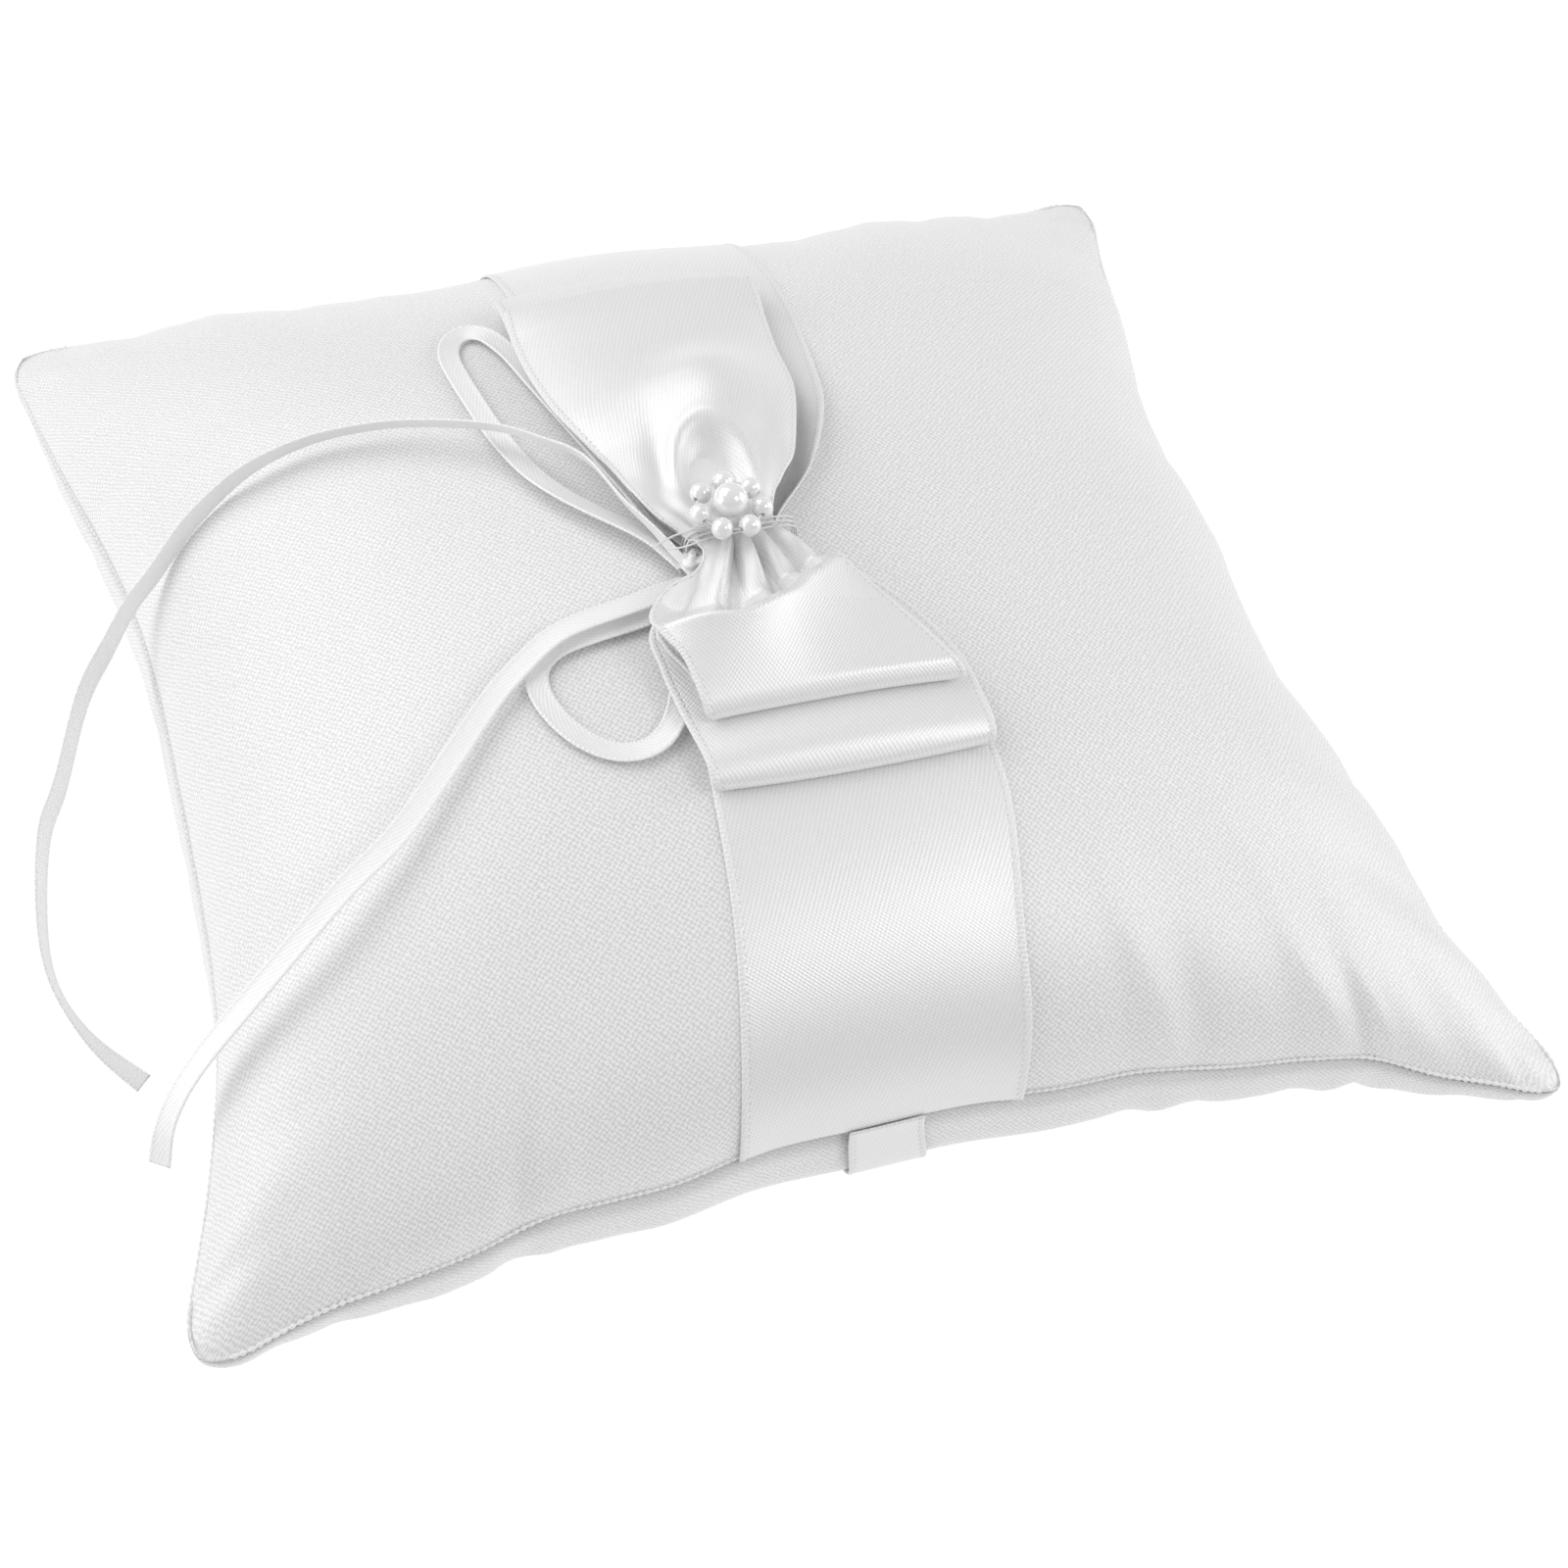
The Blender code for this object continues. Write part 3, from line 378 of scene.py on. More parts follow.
def thread_finish():
    """Sewing thread: twisted and slightly fuzzy."""
    n = Nodes("thread")
    coords = n.place()
    fuzz = n.noise(coords, 9000.0, 3.0)
    twist = n.noise(coords, 2500.0, 1.0)
    base = n.mix(fuzz, grey(0.74), grey(0.90))
    return n.finish(
        Base_Color=base, Roughness=0.55, Specular_IOR_Level=0.5,
        Sheen_Weight=0.25, Sheen_Roughness=0.5, Normal=n.bump(twist, 0.06),
    )


def fibre_finish():
    """Loose white fibre in clumps."""
    n = Nodes("fibre")
    coords = n.place()
    clumps = n.noise(coords, 160.0, 5.0)
    hair = n.noise(coords, 1900.0, 4.0)
    base = n.mix(clumps, grey(0.78), grey(0.93))
    return n.finish(
        Base_Color=base, Roughness=0.95, Sheen_Weight=0.5, Sheen_Roughness=0.6,
        Normal=n.bump(hair, 0.25, n.bump(clumps, 0.9)),
    )


def pearl_finish():
    """Imitation pearl: a milky body under a clear skin, its rims painted near white as a painted highlight,
    with a faint unevenness.
    """
    n = Nodes("pearl")
    coords = n.place()
    cloud = n.noise(coords, 420.0, 3.0)
    pits = n.noise(coords, 2600.0)
    rim_highlight = n.add("ShaderNodeLayerWeight")
    rim_highlight.inputs["Blend"].default_value = 0.35
    body = n.mix(cloud, grey(0.76, 0.003), grey(0.86, 0.003))
    # Painted highlight: the rims, where the surface turns away from view, are painted near white.
    base = n.mix(rim_highlight.outputs["Facing"], body, grey(0.95))
    rough = n.times(cloud, 0.08, 0.14)
    return n.finish(
        Base_Color=base, Roughness=rough, IOR=1.9, Specular_IOR_Level=0.8, Coat_Weight=1.0,
        Coat_Roughness=0.03, Coat_IOR=1.7, Normal=n.bump(pits, 0.004),
    )


RIBBON_WIDTH = 38.0
STRAP_WIDTH = 10.0
TIE_WIDTH = 3.0
COVER = cover_satin()
WIDE = ribbon_satin("ribbon_satin", RIBBON_WIDTH, 0.62, 0.74)
NARROW = ribbon_satin("strap_satin", STRAP_WIDTH, 0.55, 0.66, gap=0.8)
TIE = ribbon_satin("tie_satin", TIE_WIDTH, 0.5, 0.6, gap=0.5, gloss=0.42, hole_shade=0.04, pale=0.94)
THREAD = thread_finish()
FIBRE = fibre_finish()
PEARL = pearl_finish()


# ---------------- making pieces


def run_along(line):
    """Distance of each point from the start of a line of points."""
    return np.concatenate([[0.0], np.cumsum(np.linalg.norm(np.diff(line, axis=0), axis=1))])


def grid_faces(rows, columns):
    """Numbers of a grid's points, and its faces."""
    index = np.arange(rows * columns).reshape(rows, columns)
    corners = [index[:-1, :-1], index[1:, :-1], index[1:, 1:], index[:-1, 1:]]
    return index, np.stack(corners, -1).reshape(-1, 4)


def on_rim(shape):
    rim = np.ones(shape, bool)
    rim[1:-1, 1:-1] = False
    return rim


def tube_faces(rows, sides):
    """Faces of rows of points round a tube, with a cap at each end."""
    index = np.arange(rows * sides).reshape(rows, sides)
    after = np.roll(index, -1, 1)
    faces = np.stack([index[:-1], after[:-1], after[1:], index[1:]], -1).reshape(-1, 4)
    return faces.tolist() + [index[0, ::-1].tolist(), index[-1].tolist()]


def link(name, node, points, faces, finish, layout=None):
    """An object that replaces a CAD node. Points in millimetres; layout: a flat place for each corner."""
    mesh = bpy.data.meshes.new(name)
    mesh.from_pydata((np.asarray(points) * MM).tolist(), [], faces)
    if layout is not None:
        mesh.uv_layers.new(name="cloth").data.foreach_set("uv", np.asarray(layout, np.float32).ravel())
    mesh.polygons.foreach_set("use_smooth", [True] * len(mesh.polygons))
    mesh.materials.append(finish)
    mesh.validate()
    made = bpy.data.objects.new(name, mesh)
    bpy.context.scene.collection.objects.link(made)
    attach(made, "root")
    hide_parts(node)
    return made


def grid_normals(grid, closed):
    if closed:
        down = np.roll(grid, -1, 0) - np.roll(grid, 1, 0)
    else:
        down = np.gradient(grid, axis=0)
    return unit(np.cross(down, np.gradient(grid, axis=1)))


def strip(name, node, grid, thickness, across, finish, closed=False):
    """A closed band of cloth from the rows of points of its middle surface. across gives each column's place
    over the width; thickness may differ by column."""
    rows, columns = grid.shape[:2]
    normals = grid_normals(grid, closed)
    half = np.broadcast_to(np.asarray(thickness, float), (columns,))[None, :, None] / 2
    points = np.concatenate([(grid + normals * half).reshape(-1, 3), (grid - normals * half).reshape(-1, 3)])
    middle = grid[:, columns // 2]
    run = run_along(np.vstack([middle, middle[:1]]) if closed else middle)
    layer = rows * columns
    faces, layout = [], []

    def corner(i, j, back):
        return back * layer + (i % rows) * columns + j

    def face(*corners):
        faces.append(tuple(corner(*c) for c in corners))
        layout.extend((across[c[1]], run[c[0]]) for c in corners)

    for i in range(rows if closed else rows - 1):
        for j in range(columns - 1):
            face((i, j, 0), (i + 1, j, 0), (i + 1, j + 1, 0), (i, j + 1, 0))
            face((i, j, 1), (i, j + 1, 1), (i + 1, j + 1, 1), (i + 1, j, 1))
        face((i, 0, 0), (i, 0, 1), (i + 1, 0, 1), (i + 1, 0, 0))
        face((i, columns - 1, 0), (i + 1, columns - 1, 0), (i + 1, columns - 1, 1), (i, columns - 1, 1))
    if not closed:
        for j in range(columns - 1):
            face((0, j, 0), (0, j + 1, 0), (0, j + 1, 1), (0, j, 1))
            face((rows - 1, j, 0), (rows - 1, j, 1), (rows - 1, j + 1, 1), (rows - 1, j + 1, 0))
    return link(name, node, points, faces, finish, layout)


def width_columns(width, inner, selvedge):
    """Places of the columns of points over a ribbon's width, closer together in the selvedges."""
    edge = [width / 2 - selvedge * k for k in (0.0, 0.25, 0.6, 1.0, 1.35)]
    middle = list(np.linspace(-(width / 2 - selvedge * 2.2), width / 2 - selvedge * 2.2, inner))
    return np.array([-e for e in edge] + middle + edge[::-1])


def width_thickness(across, width, selvedge, thin, thick):
    """Ribbon thickness over the width: a bead along each selvedge."""
    inside = (width / 2 - np.abs(across)) / selvedge
    bead = np.where(inside < 1.0, np.sqrt(share01(1 - (2 * inside - 1) ** 2)), 0.0)
    return thin * (0.45 + 0.55 * share01(inside / 0.4)) + (thick - thin) * bead


def tube(name, node, centres, radius, sides, finish):
    """A round tube along a line of centres, with capped ends."""
    side = np.array([0.0, 0.0, 1.0])
    turns = 2 * np.pi * np.arange(sides) / sides
    points = []
    for centre, ahead in zip(centres, unit(np.gradient(centres, axis=0))):
        side = unit(side - ahead * side.dot(ahead))
        other = np.cross(ahead, side)
        points.append(centre + radius * (np.cos(turns)[:, None] * side + np.sin(turns)[:, None] * other))
    link(name, node, np.concatenate(points), tube_faces(len(centres), sides), finish)


# ---------------- cords: the narrow tie ribbon

KNOT = (-10.9, -9.8, 2.7)
KNOT_HALF = (1.9, 1.7, 1.5)
TIE_WIDTH_AT_KNOT = 1.4
TIE_THICKNESS = 0.35
TIE_TAPER = 6.0
# Routes over the cushion: (x, y, lift over the cover, roll in degrees). Beyond its edge: (x, y, z, roll).
BACK_TAIL_OVER = [
    (-12.2, -9.6, 2.8, 80), (-13.6, -7, 3.4, 100), (-15.2, -3.6, 4, 110), (-17.4, 0.6, 4.5, 114),
    (-20.2, 8.6, 5.1, 116), (-24.4, 13.6, 5, 118), (-30.2, 19.4, 4.5, 118), (-40.2, 25.7, 3.4, 118),
    (-48.1, 28.5, 3, 116), (-54.3, 29.5, 2.9, 110), (-60.9, 29.1, 2.9, 100),
]
BACK_TAIL_BEYOND = [
    (-65.6, 28.2, 51.4, 88), (-70.6, 26, 48, 76), (-75.4, 22.8, 44, 78), (-79.2, 20.3, 41.5, 74),
    (-83.2, 16.7, 37.8, 70), (-87.6, 13, 32.8, 68), (-92.6, 4.7, 25.6, 66), (-95.6, 0.8, 21.8, 66),
    (-97.6, -5.2, 16.8, 68), (-98.6, -11.6, 11.8, 70), (-98, -16.4, 8.4, 66), (-95.8, -20.9, 5.2, 50),
    (-93.6, -23.9, 3.4, 30), (-91.2, -26.6, 2.2, 12), (-89.2, -28.6, 1.2, 0),
]
BACK_LOOP = [
    (-12.4, -9.6, 1.8, 0), (-13.1, -7.2, 1.8, -5), (-14.6, -4.1, 1.8, -12), (-17.2, -1.2, 1.8, -20),
    (-20, 1.8, 1.8, -22), (-22.6, 5, 1.7, -22), (-24.7, 8.4, 1.5, -16), (-26.4, 12, 1.2, -8),
    (-27.9, 16.7, 1, 0), (-29.4, 22.9, 1, 0), (-30.3, 29.1, 1, 0), (-31, 35.7, 1, 0), (-31.1, 40.6, 1, 0),
    (-30, 44.2, 1.1, 0), (-27.5, 45.7, 1.2, 0), (-25.2, 43.9, 1.2, 0), (-23.2, 37.6, 1.3, 0),
    (-22, 31.3, 1.4, 0), (-19.7, 21.5, 1.4, 0), (-16.8, 11, 1.4, 0), (-14, 2, 1.3, 0), (-12.7, -3.8, 1.1, 0),
    (-12.4, -7.2, 1, 0), (-12, -9.6, 1, 0),
]
FRONT_TAIL_OVER = [
    (-12.8, -11.5, 1.9, 0), (-15.2, -12.4, 2.1, 0), (-18.6, -13.3, 2.1, 0), (-24.3, -13.8, 2.1, 0),
    (-30.2, -14.8, 2.2, 0), (-35.6, -18, 2.2, 4), (-40.3, -21.6, 2.2, 6), (-46.9, -28.2, 2.7, 8),
    (-54.7, -35.4, 3.7, 8), (-61.8, -39.9, 5.2, 6),
]
FRONT_TAIL_BEYOND = [
    (-66, -42.8, 52.8, 4), (-70.9, -45.6, 49.8, 2), (-77.4, -48.9, 45, 0), (-82, -51, 41, -4),
    (-85.8, -52.9, 36.6, -8), (-88.4, -54.9, 32, -12), (-89.6, -57, 28, -14),
]
FRONT_LOOP = [
    (-12.8, -11.9, 0.95, 0), (-14.8, -13.7, 0.8, 0), (-19, -14.9, 0.8, 0), (-25, -15.3, 0.8, 0),
    (-30.4, -15.9, 0.8, 0), (-33.3, -17.8, 0.8, 0), (-34, -21, 0.8, 0), (-33, -25, 0.8, 0),
    (-30.8, -28.9, 0.8, 0), (-27.4, -32, 0.8, 0), (-24, -33, 0.9, 0), (-21.2, -32.3, 1, 0),
    (-19, -30.2, 1.2, 0), (-17.2, -26.6, 1.2, 0), (-14.8, -20.6, 1.2, 0), (-12.8, -15.6, 1.3, 0),
    (-12.1, -12.2, 1.4, 0),
]


def smooth_route(places, rolls, step):
    """Catmull-Rom curve through the places, with a sample about every step."""
    count = len(places)
    made, turned = [], []
    for i in range(count - 1):
        a, b, c, d = (places[min(max(i + k, 0), count - 1)] for k in (-1, 0, 1, 2))
        pieces = max(1, round(np.linalg.norm(c - b) / step))
        for k in range(pieces):
            t = k / pieces
            bend = (2 * a - 5 * b + 4 * c - d) * t * t + (3 * b - a - 3 * c + d) * t**3
            made.append(b + ((c - a) * t + bend) / 2)
            turned.append(rolls[i] + (rolls[i + 1] - rolls[i]) * t)
    return np.array(made + [places[-1]]), np.array(turned + [rolls[-1]])


def relax(line, rounds, ends=2):
    """Evens out small kinks of a line of points, keeping its ends."""
    line = line.copy()
    for _ in range(rounds):
        line[ends:-ends] += 0.5 * ((line[ends - 1:-ends - 1] + line[ends + 1:len(line) - ends + 1]) / 2
                                   - line[ends:-ends])
    return line


def tie_ribbon(name, node, over_points, beyond_points, far_end):
    """A stretch of the narrow ribbon along its route, crumpled narrower at the knot."""
    places = list(over_xy(*np.array(over_points, float).T[:3]))
    places += [np.array(p[:3], float) for p in beyond_points]
    rolls = [p[3] for p in over_points + beyond_points]
    line, roll = smooth_route(places, rolls, 0.7)
    line, roll = relax(line, 6), relax(roll, 20)
    along = unit(np.gradient(line, axis=0))
    flat = unit(np.cross(along, np.array([0.0, 0.0, 1.0])))
    upright = np.cross(flat, along)
    angle = np.radians(roll)[:, None]
    across_line = flat * np.cos(angle) + upright * np.sin(angle)
    run = run_along(line)
    from_knot = np.minimum(run, run[-1] - run) if far_end == "object" else run
    squeeze = np.sin(share01(from_knot / TIE_TAPER) * math.pi / 2)
    share = (TIE_WIDTH_AT_KNOT + (TIE_WIDTH - TIE_WIDTH_AT_KNOT) * squeeze) / TIE_WIDTH
    across = np.array([-1.5, -1.4, -1.2, -0.95, -0.5, 0.0, 0.5, 0.95, 1.2, 1.4, 1.5])
    grid = line[:, None] + across_line[:, None] * (across[None, :] * share[:, None])[..., None]
    thickness = width_thickness(across, TIE_WIDTH, 0.42, 0.20, TIE_THICKNESS)
    made = strip(name, node, grid, thickness, across, TIE)


tie_ribbon("tie_tail_back", "tie_ribbon_back_tail", BACK_TAIL_OVER, BACK_TAIL_BEYOND, "bare")
tie_ribbon("tie_loop_back", "tie_ribbon_back_loop", BACK_LOOP, [], "object")
tie_ribbon("tie_tail_front", "tie_ribbon_front_tail", FRONT_TAIL_OVER, FRONT_TAIL_BEYOND, "bare")
tie_ribbon("tie_loop_front", "tie_ribbon_front_loop", FRONT_LOOP, [], "object")


# ---------------- cushion

EDGE_SPACING = 1.2
COVER_CELLS = 190
COVER_THICKNESS = 0.5
SEAM_GAP = 0.02
SEAM_SINK = 0.15  # how far the stitches pull the seam in
SEAM_SINK_REACH = 1.3
SEAM_PUCKER_SHARE = 0.45  # share of the gathers' depth that moves the seam itself
UNDER_ROLL = 2.4  # how far the bottom panel rolls out beyond the seam
UNDER_ROLL_REACH = 2.6
REST_HEIGHT = 1.2  # below this the underside lies flat
# Small gathers that the seam stitches leave in the cover: (place along the side, half width, depth, reach).
PUCKERS = {
    "front": [
        (-76, 3.6, 1, 9), (-68, 2.6, 0.9, 8), (-56, 3.2, -0.5, 12), (-47, 2.4, 1.1, 14), (-42, 2, -0.7, 12),
        (-33, 3.6, 0.4, 10), (29, 2.2, 0.5, 14), (34, 2, -0.8, 20), (38.5, 2.4, 0.8, 20),
        (50.5, 2.6, 0.6, 15), (56, 1.8, -1, 18), (59.5, 1.4, 1.1, 14), (62.5, 1.3, -0.7, 11),
        (72, 3.4, 0.8, 14), (80, 2.2, 0.7, 9),
    ],
    "right": [
        (-80, 2.8, 0.9, 10), (-70, 3.6, -0.7, 15), (-61, 3, 0.9, 16), (-50, 2.6, -0.4, 12),
        (-40, 3.4, 0.8, 18), (-22, 4.4, 0.5, 14), (2, 3.4, -0.4, 16), (20, 3.8, 0.6, 14), (41, 3, 0.7, 16),
        (55, 2.6, -0.5, 12), (68, 3.4, 0.8, 13), (80, 2.4, 0.7, 9),
    ],
    "back": [
        (-80, 2.4, 0.8, 9), (-69, 3.4, 0.7, 14), (-58, 2.6, -0.6, 15), (-47, 3, 0.8, 14),
        (-33, 2.6, -0.5, 13), (30, 3, 0.6, 14), (44, 2.4, -0.5, 15), (53, 3, 0.8, 15), (66, 3, 0.6, 13),
        (79, 2.6, 0.8, 10),
    ],
    "left": [
        (-79, 2.8, 0.8, 10), (-66, 3.4, 0.6, 15), (-54, 2.4, -0.5, 14), (-43, 3.2, 0.7, 16),
        (-27, 2.6, -0.4, 12), (-12, 3.6, 0.5, 15), (9, 3, 0.5, 14), (26, 3.2, -0.4, 15), (45, 3, 0.7, 15),
        (60, 2.6, -0.4, 12), (74, 3.2, 0.8, 11),
    ],
}


def pucker_depth(u, v, side):
    """How far the seam gathers press the cover in, at cover parameters u and v."""
    along = {"front": u, "back": u, "left": v, "right": v}
    away = {"front": 1 + v, "back": 1 - v, "left": 1 + u, "right": 1 - u}
    depth = np.zeros(np.broadcast(u, v).shape)
    puckers = [(name, *pucker) for name, group in PUCKERS.items() for pucker in group]
    for k, (name, place, half, deep, reach) in enumerate(puckers):
        lean = 0.10 * math.sin(2.4 * k)
        distance = away[name] * HALF_SPAN
        off = along[name] * HALF_SPAN - place - lean * distance
        spread = half * 0.8 * (1 + 0.035 * distance)
        fade = np.exp(-distance / (reach * 0.62)) * (1 - np.exp(-distance / 3.0))
        depth += deep * 1.5 * hump(off, spread) * fade
    return depth if side == TOP else depth * 0.8


def softness(u, v, side):
    """Broad shallow unevenness of the filling."""
    shift = 0.0 if side == TOP else 1.7
    waves = np.sin(3.1 * u + 1.9 * v + shift) * np.sin(2.3 * v - 1.3 * u + 0.6)
    waves = waves + 0.6 * np.sin(6.3 * u - 2.0 * v + 1.1 + shift) * np.sin(5.2 * v + 0.4)
    return 0.35 * waves * ((1 - u**2) * (1 - v**2)) ** 0.5


def cover_skin(u, v, side, depth=0.0):
    """The cover's outer face with its gathers, or a face parallel to it further in."""
    points = skin(u, v, side)
    normals = skin_normal(u, v, side)
    rim = np.minimum(np.minimum(1 - np.abs(u), 1 - np.abs(v)) * HALF_SPAN / SEAM_SINK_REACH, 6.0)
    sink = SEAM_SINK * np.exp(-rim**2) * (1 - (u * v) ** 24)
    out = plan(u * 1.001, v * 1.001) - plan(u * 0.999, v * 0.999)
    out[..., 2] = 0.0
    keep = np.abs(points[..., 2]) > REST_HEIGHT if side == UNDER else np.ones(u.shape, bool)
    move = -pucker_depth(u, v, side) + softness(u, v, side) * keep
    if side == UNDER:
        from_seam = np.minimum(1 - np.abs(u), 1 - np.abs(v)) * HALF_SPAN / UNDER_ROLL_REACH
        sink = sink - UNDER_ROLL * from_seam * np.exp(1 - from_seam) * (1 - (u * v) ** 4)
    points = points - unit(out) * sink[..., None] + normals * (move - depth)[..., None]
    if side == UNDER:
        flat = skin(u, v, side)[..., 2]
        lying = flat < REST_HEIGHT
        points[..., 2] = np.where(lying, np.maximum(points[..., 2], flat + depth), points[..., 2])
        points[..., 2] = np.maximum(points[..., 2], depth)
    return points


def cover_stations(cells, extra=()):
    steps = 2 * np.arange(cells + 1) / cells - 1
    stations = np.sin(EDGE_SPACING * steps) / math.sin(EDGE_SPACING)
    room = 0.6 / cells
    kept = [t for t in stations if all(abs(t - e) > room for e in extra)]
    return np.array(sorted(kept + list(extra)))


def arc_length(grid, axis):
    """Distance of each point from the middle of its row, measured over the surface."""
    steps = np.linalg.norm(np.diff(grid, axis=axis), axis=-1)
    first = np.zeros_like(steps.take([0], axis))
    run = np.concatenate([first, np.cumsum(steps, axis)], axis)
    return run - run.take([run.shape[axis] // 2], axis)


def cover_panel(name, side, node):
    """One panel of the cover as a thin closed shell, its edge turned in at the seam."""
    edges = (CHANNEL_HALF, CHANNEL_HALF + CHANNEL_SLOPE)
    marks = [(STRAP_X + sign * edge) / HALF_SPAN for edge in edges for sign in (-1, 1)]
    across = cover_stations(COVER_CELLS, marks if side == UNDER else ())
    along = cover_stations(COVER_CELLS)
    u, v = np.meshgrid(across, along, indexing="ij")
    outer = cover_skin(u, v, side)
    inner = cover_skin(u, v, side, COVER_THICKNESS)
    rim = on_rim(u.shape)
    for layer, inset, rise in ((outer, SEAM_SINK, SEAM_GAP), (inner, SEAM_SINK + COVER_THICKNESS, SEAM_GAP)):
        shrink = 1 - inset / HALF_SPAN
        seam = plan(u * shrink, v * shrink)
        seam[..., 2] = plan(u, v)[..., 2] + side * (rise + (COVER_THICKNESS if layer is inner else 0.0))
        seam[..., 2] -= pucker_depth(u, v, TOP) * SEAM_PUCKER_SHARE
        layer[rim] = seam[rim]
    points = np.concatenate([outer.reshape(-1, 3), inner.reshape(-1, 3)])
    index, quads = grid_faces(*u.shape)
    inside = quads[:, ::-1] + index.size
    loop = np.concatenate([index[0, :-1], index[:-1, -1], index[-1, :0:-1], index[:0:-1, 0]])
    after = np.roll(loop, -1)
    edge = np.stack([loop, after, after + index.size, loop + index.size], -1)
    faces = np.concatenate([quads, inside, edge])
    if side == UNDER:
        faces = faces[:, ::-1]
    flat = np.stack([arc_length(outer, 0), arc_length(outer, 1)], -1).reshape(-1, 2)
    layout = np.concatenate([flat, flat])[faces]
    made = link(name, node, points, faces.tolist(), COVER, layout)


cover_panel("top_cover", TOP, "top_panel")
cover_panel("bottom_cover", UNDER, "bottom_panel")


def fibre_filling():
    """The filling inside the cover: a lumpy cushion of loose fibre."""
    cells = 60
    share, clearance = 0.9, 3.0
    stations = cover_stations(cells)
    u, v = np.meshgrid(stations, stations, indexing="ij")
    layers = []
    for side in (TOP, UNDER):
        point = plan(u * share, v * share)
        dome = bulge(u, v, side)
        rise = (CROWN_RISE if side == TOP else point[..., 2]) - clearance
        lumps = 0.9 * np.sin(9 * u + 2 * v) * np.sin(8 * v - 3 * u + side)
        point[..., 2] += side * (rise + lumps) * dome
        layers.append(point.reshape(-1, 3))
    index, quads = grid_faces(*u.shape)
    under = np.where(on_rim(index.shape), index, index + index.size).ravel()
    faces = np.concatenate([quads, under[quads[:, ::-1]]])
    used, renumbered = np.unique(faces, return_inverse=True)
    points = np.concatenate(layers)[used]
    faces = renumbered.reshape(-1, 4).tolist()
    made = link("pillow_filling", "fibre_filling", points, faces, FIBRE)


fibre_filling()


STITCH_LENGTH = 1.05
STITCH_TWIST = 1.5
STITCH_SIDES = 8


def seam_stitches(name, node, u, v, stand_out, stand_up):
    """The sewing thread along one seam: two plies twisted together, lying in the seam."""
    shrink = 1 - SEAM_SINK / HALF_SPAN
    line = plan(u * shrink, v * shrink)
    line[:, 2] = plan(u, v)[:, 2] - pucker_depth(u, v, TOP) * SEAM_PUCKER_SHARE
    out = plan(u * 1.001, v * 1.001) - plan(u * 0.999, v * 0.999)
    out[:, 2] = 0.0
    line += unit(out) * stand_out + np.array([0.0, 0.0, stand_up])
    run = run_along(line)
    fine = np.arange(0.0, run[-1], 0.13)
    line = np.stack([np.interp(fine, run, line[:, k]) for k in range(3)], 1)
    along = unit(np.gradient(line, axis=0))
    side = unit(np.cross(along, np.array([0.0, 0.0, 1.0])))
    other = np.cross(side, along)
    turns = 2 * np.pi * np.arange(STITCH_SIDES) / STITCH_SIDES
    twist = 2 * np.pi * fine / STITCH_TWIST
    stitch = np.abs(np.sin(np.pi * fine / STITCH_LENGTH))[:, None]
    lobes = 0.07 + 0.22 * stitch + 0.06 * np.abs(np.cos(turns[None, :] - twist[:, None]))
    points = (line[:, None] + lobes[..., None] * (np.cos(turns)[None, :, None] * side[:, None]
                                                  + np.sin(turns)[None, :, None] * other[:, None]))
    link(name, node, points.reshape(-1, 3), tube_faces(len(fine), STITCH_SIDES), THREAD)


along_seam = cover_stations(200)[12:-12]  # the stitching stops short of the corners
ones = np.ones(len(along_seam))
seams = {
    "front": (along_seam, -ones, -0.20, 0.42), "right": (ones, along_seam, -0.25, 0.15),
    "back": (along_seam, ones, -0.25, 0.15), "left": (-ones, along_seam, -0.25, 0.15),
}
for side, course in seams.items():
    seam_stitches(f"seam_stitches_{side}", f"seam_thread_{side}", *course)


# ---------------- wide ribbon and strap

RIBBON_LIFT = 0.42
RIBBON_LIFT_AT_PINCH = 1.4
PINCH = (-4.5, -8.0)
PINCH_HALF = 4.6
# (y, x) along the ribbon's two edges.
BASE_LEFT = [
    (-77, -22.6), (-69, -20.8), (-57, -18.6), (-40, -16.9), (-24, -15.6), (-8, -9.2), (8, -14.6),
    (30, -18.8), (50, -19.2), (62, -19.2), (78, -19),
]
BASE_RIGHT = [
    (-77, 14.4), (-72, 16), (-63, 17.2), (-40, 20), (-24, 15.4), (-8, 0.2), (4, 8.9), (14, 13.6), (25, 16.1),
    (36, 17.6), (50, 18.4), (62, 18.4), (78, 18.9),
]


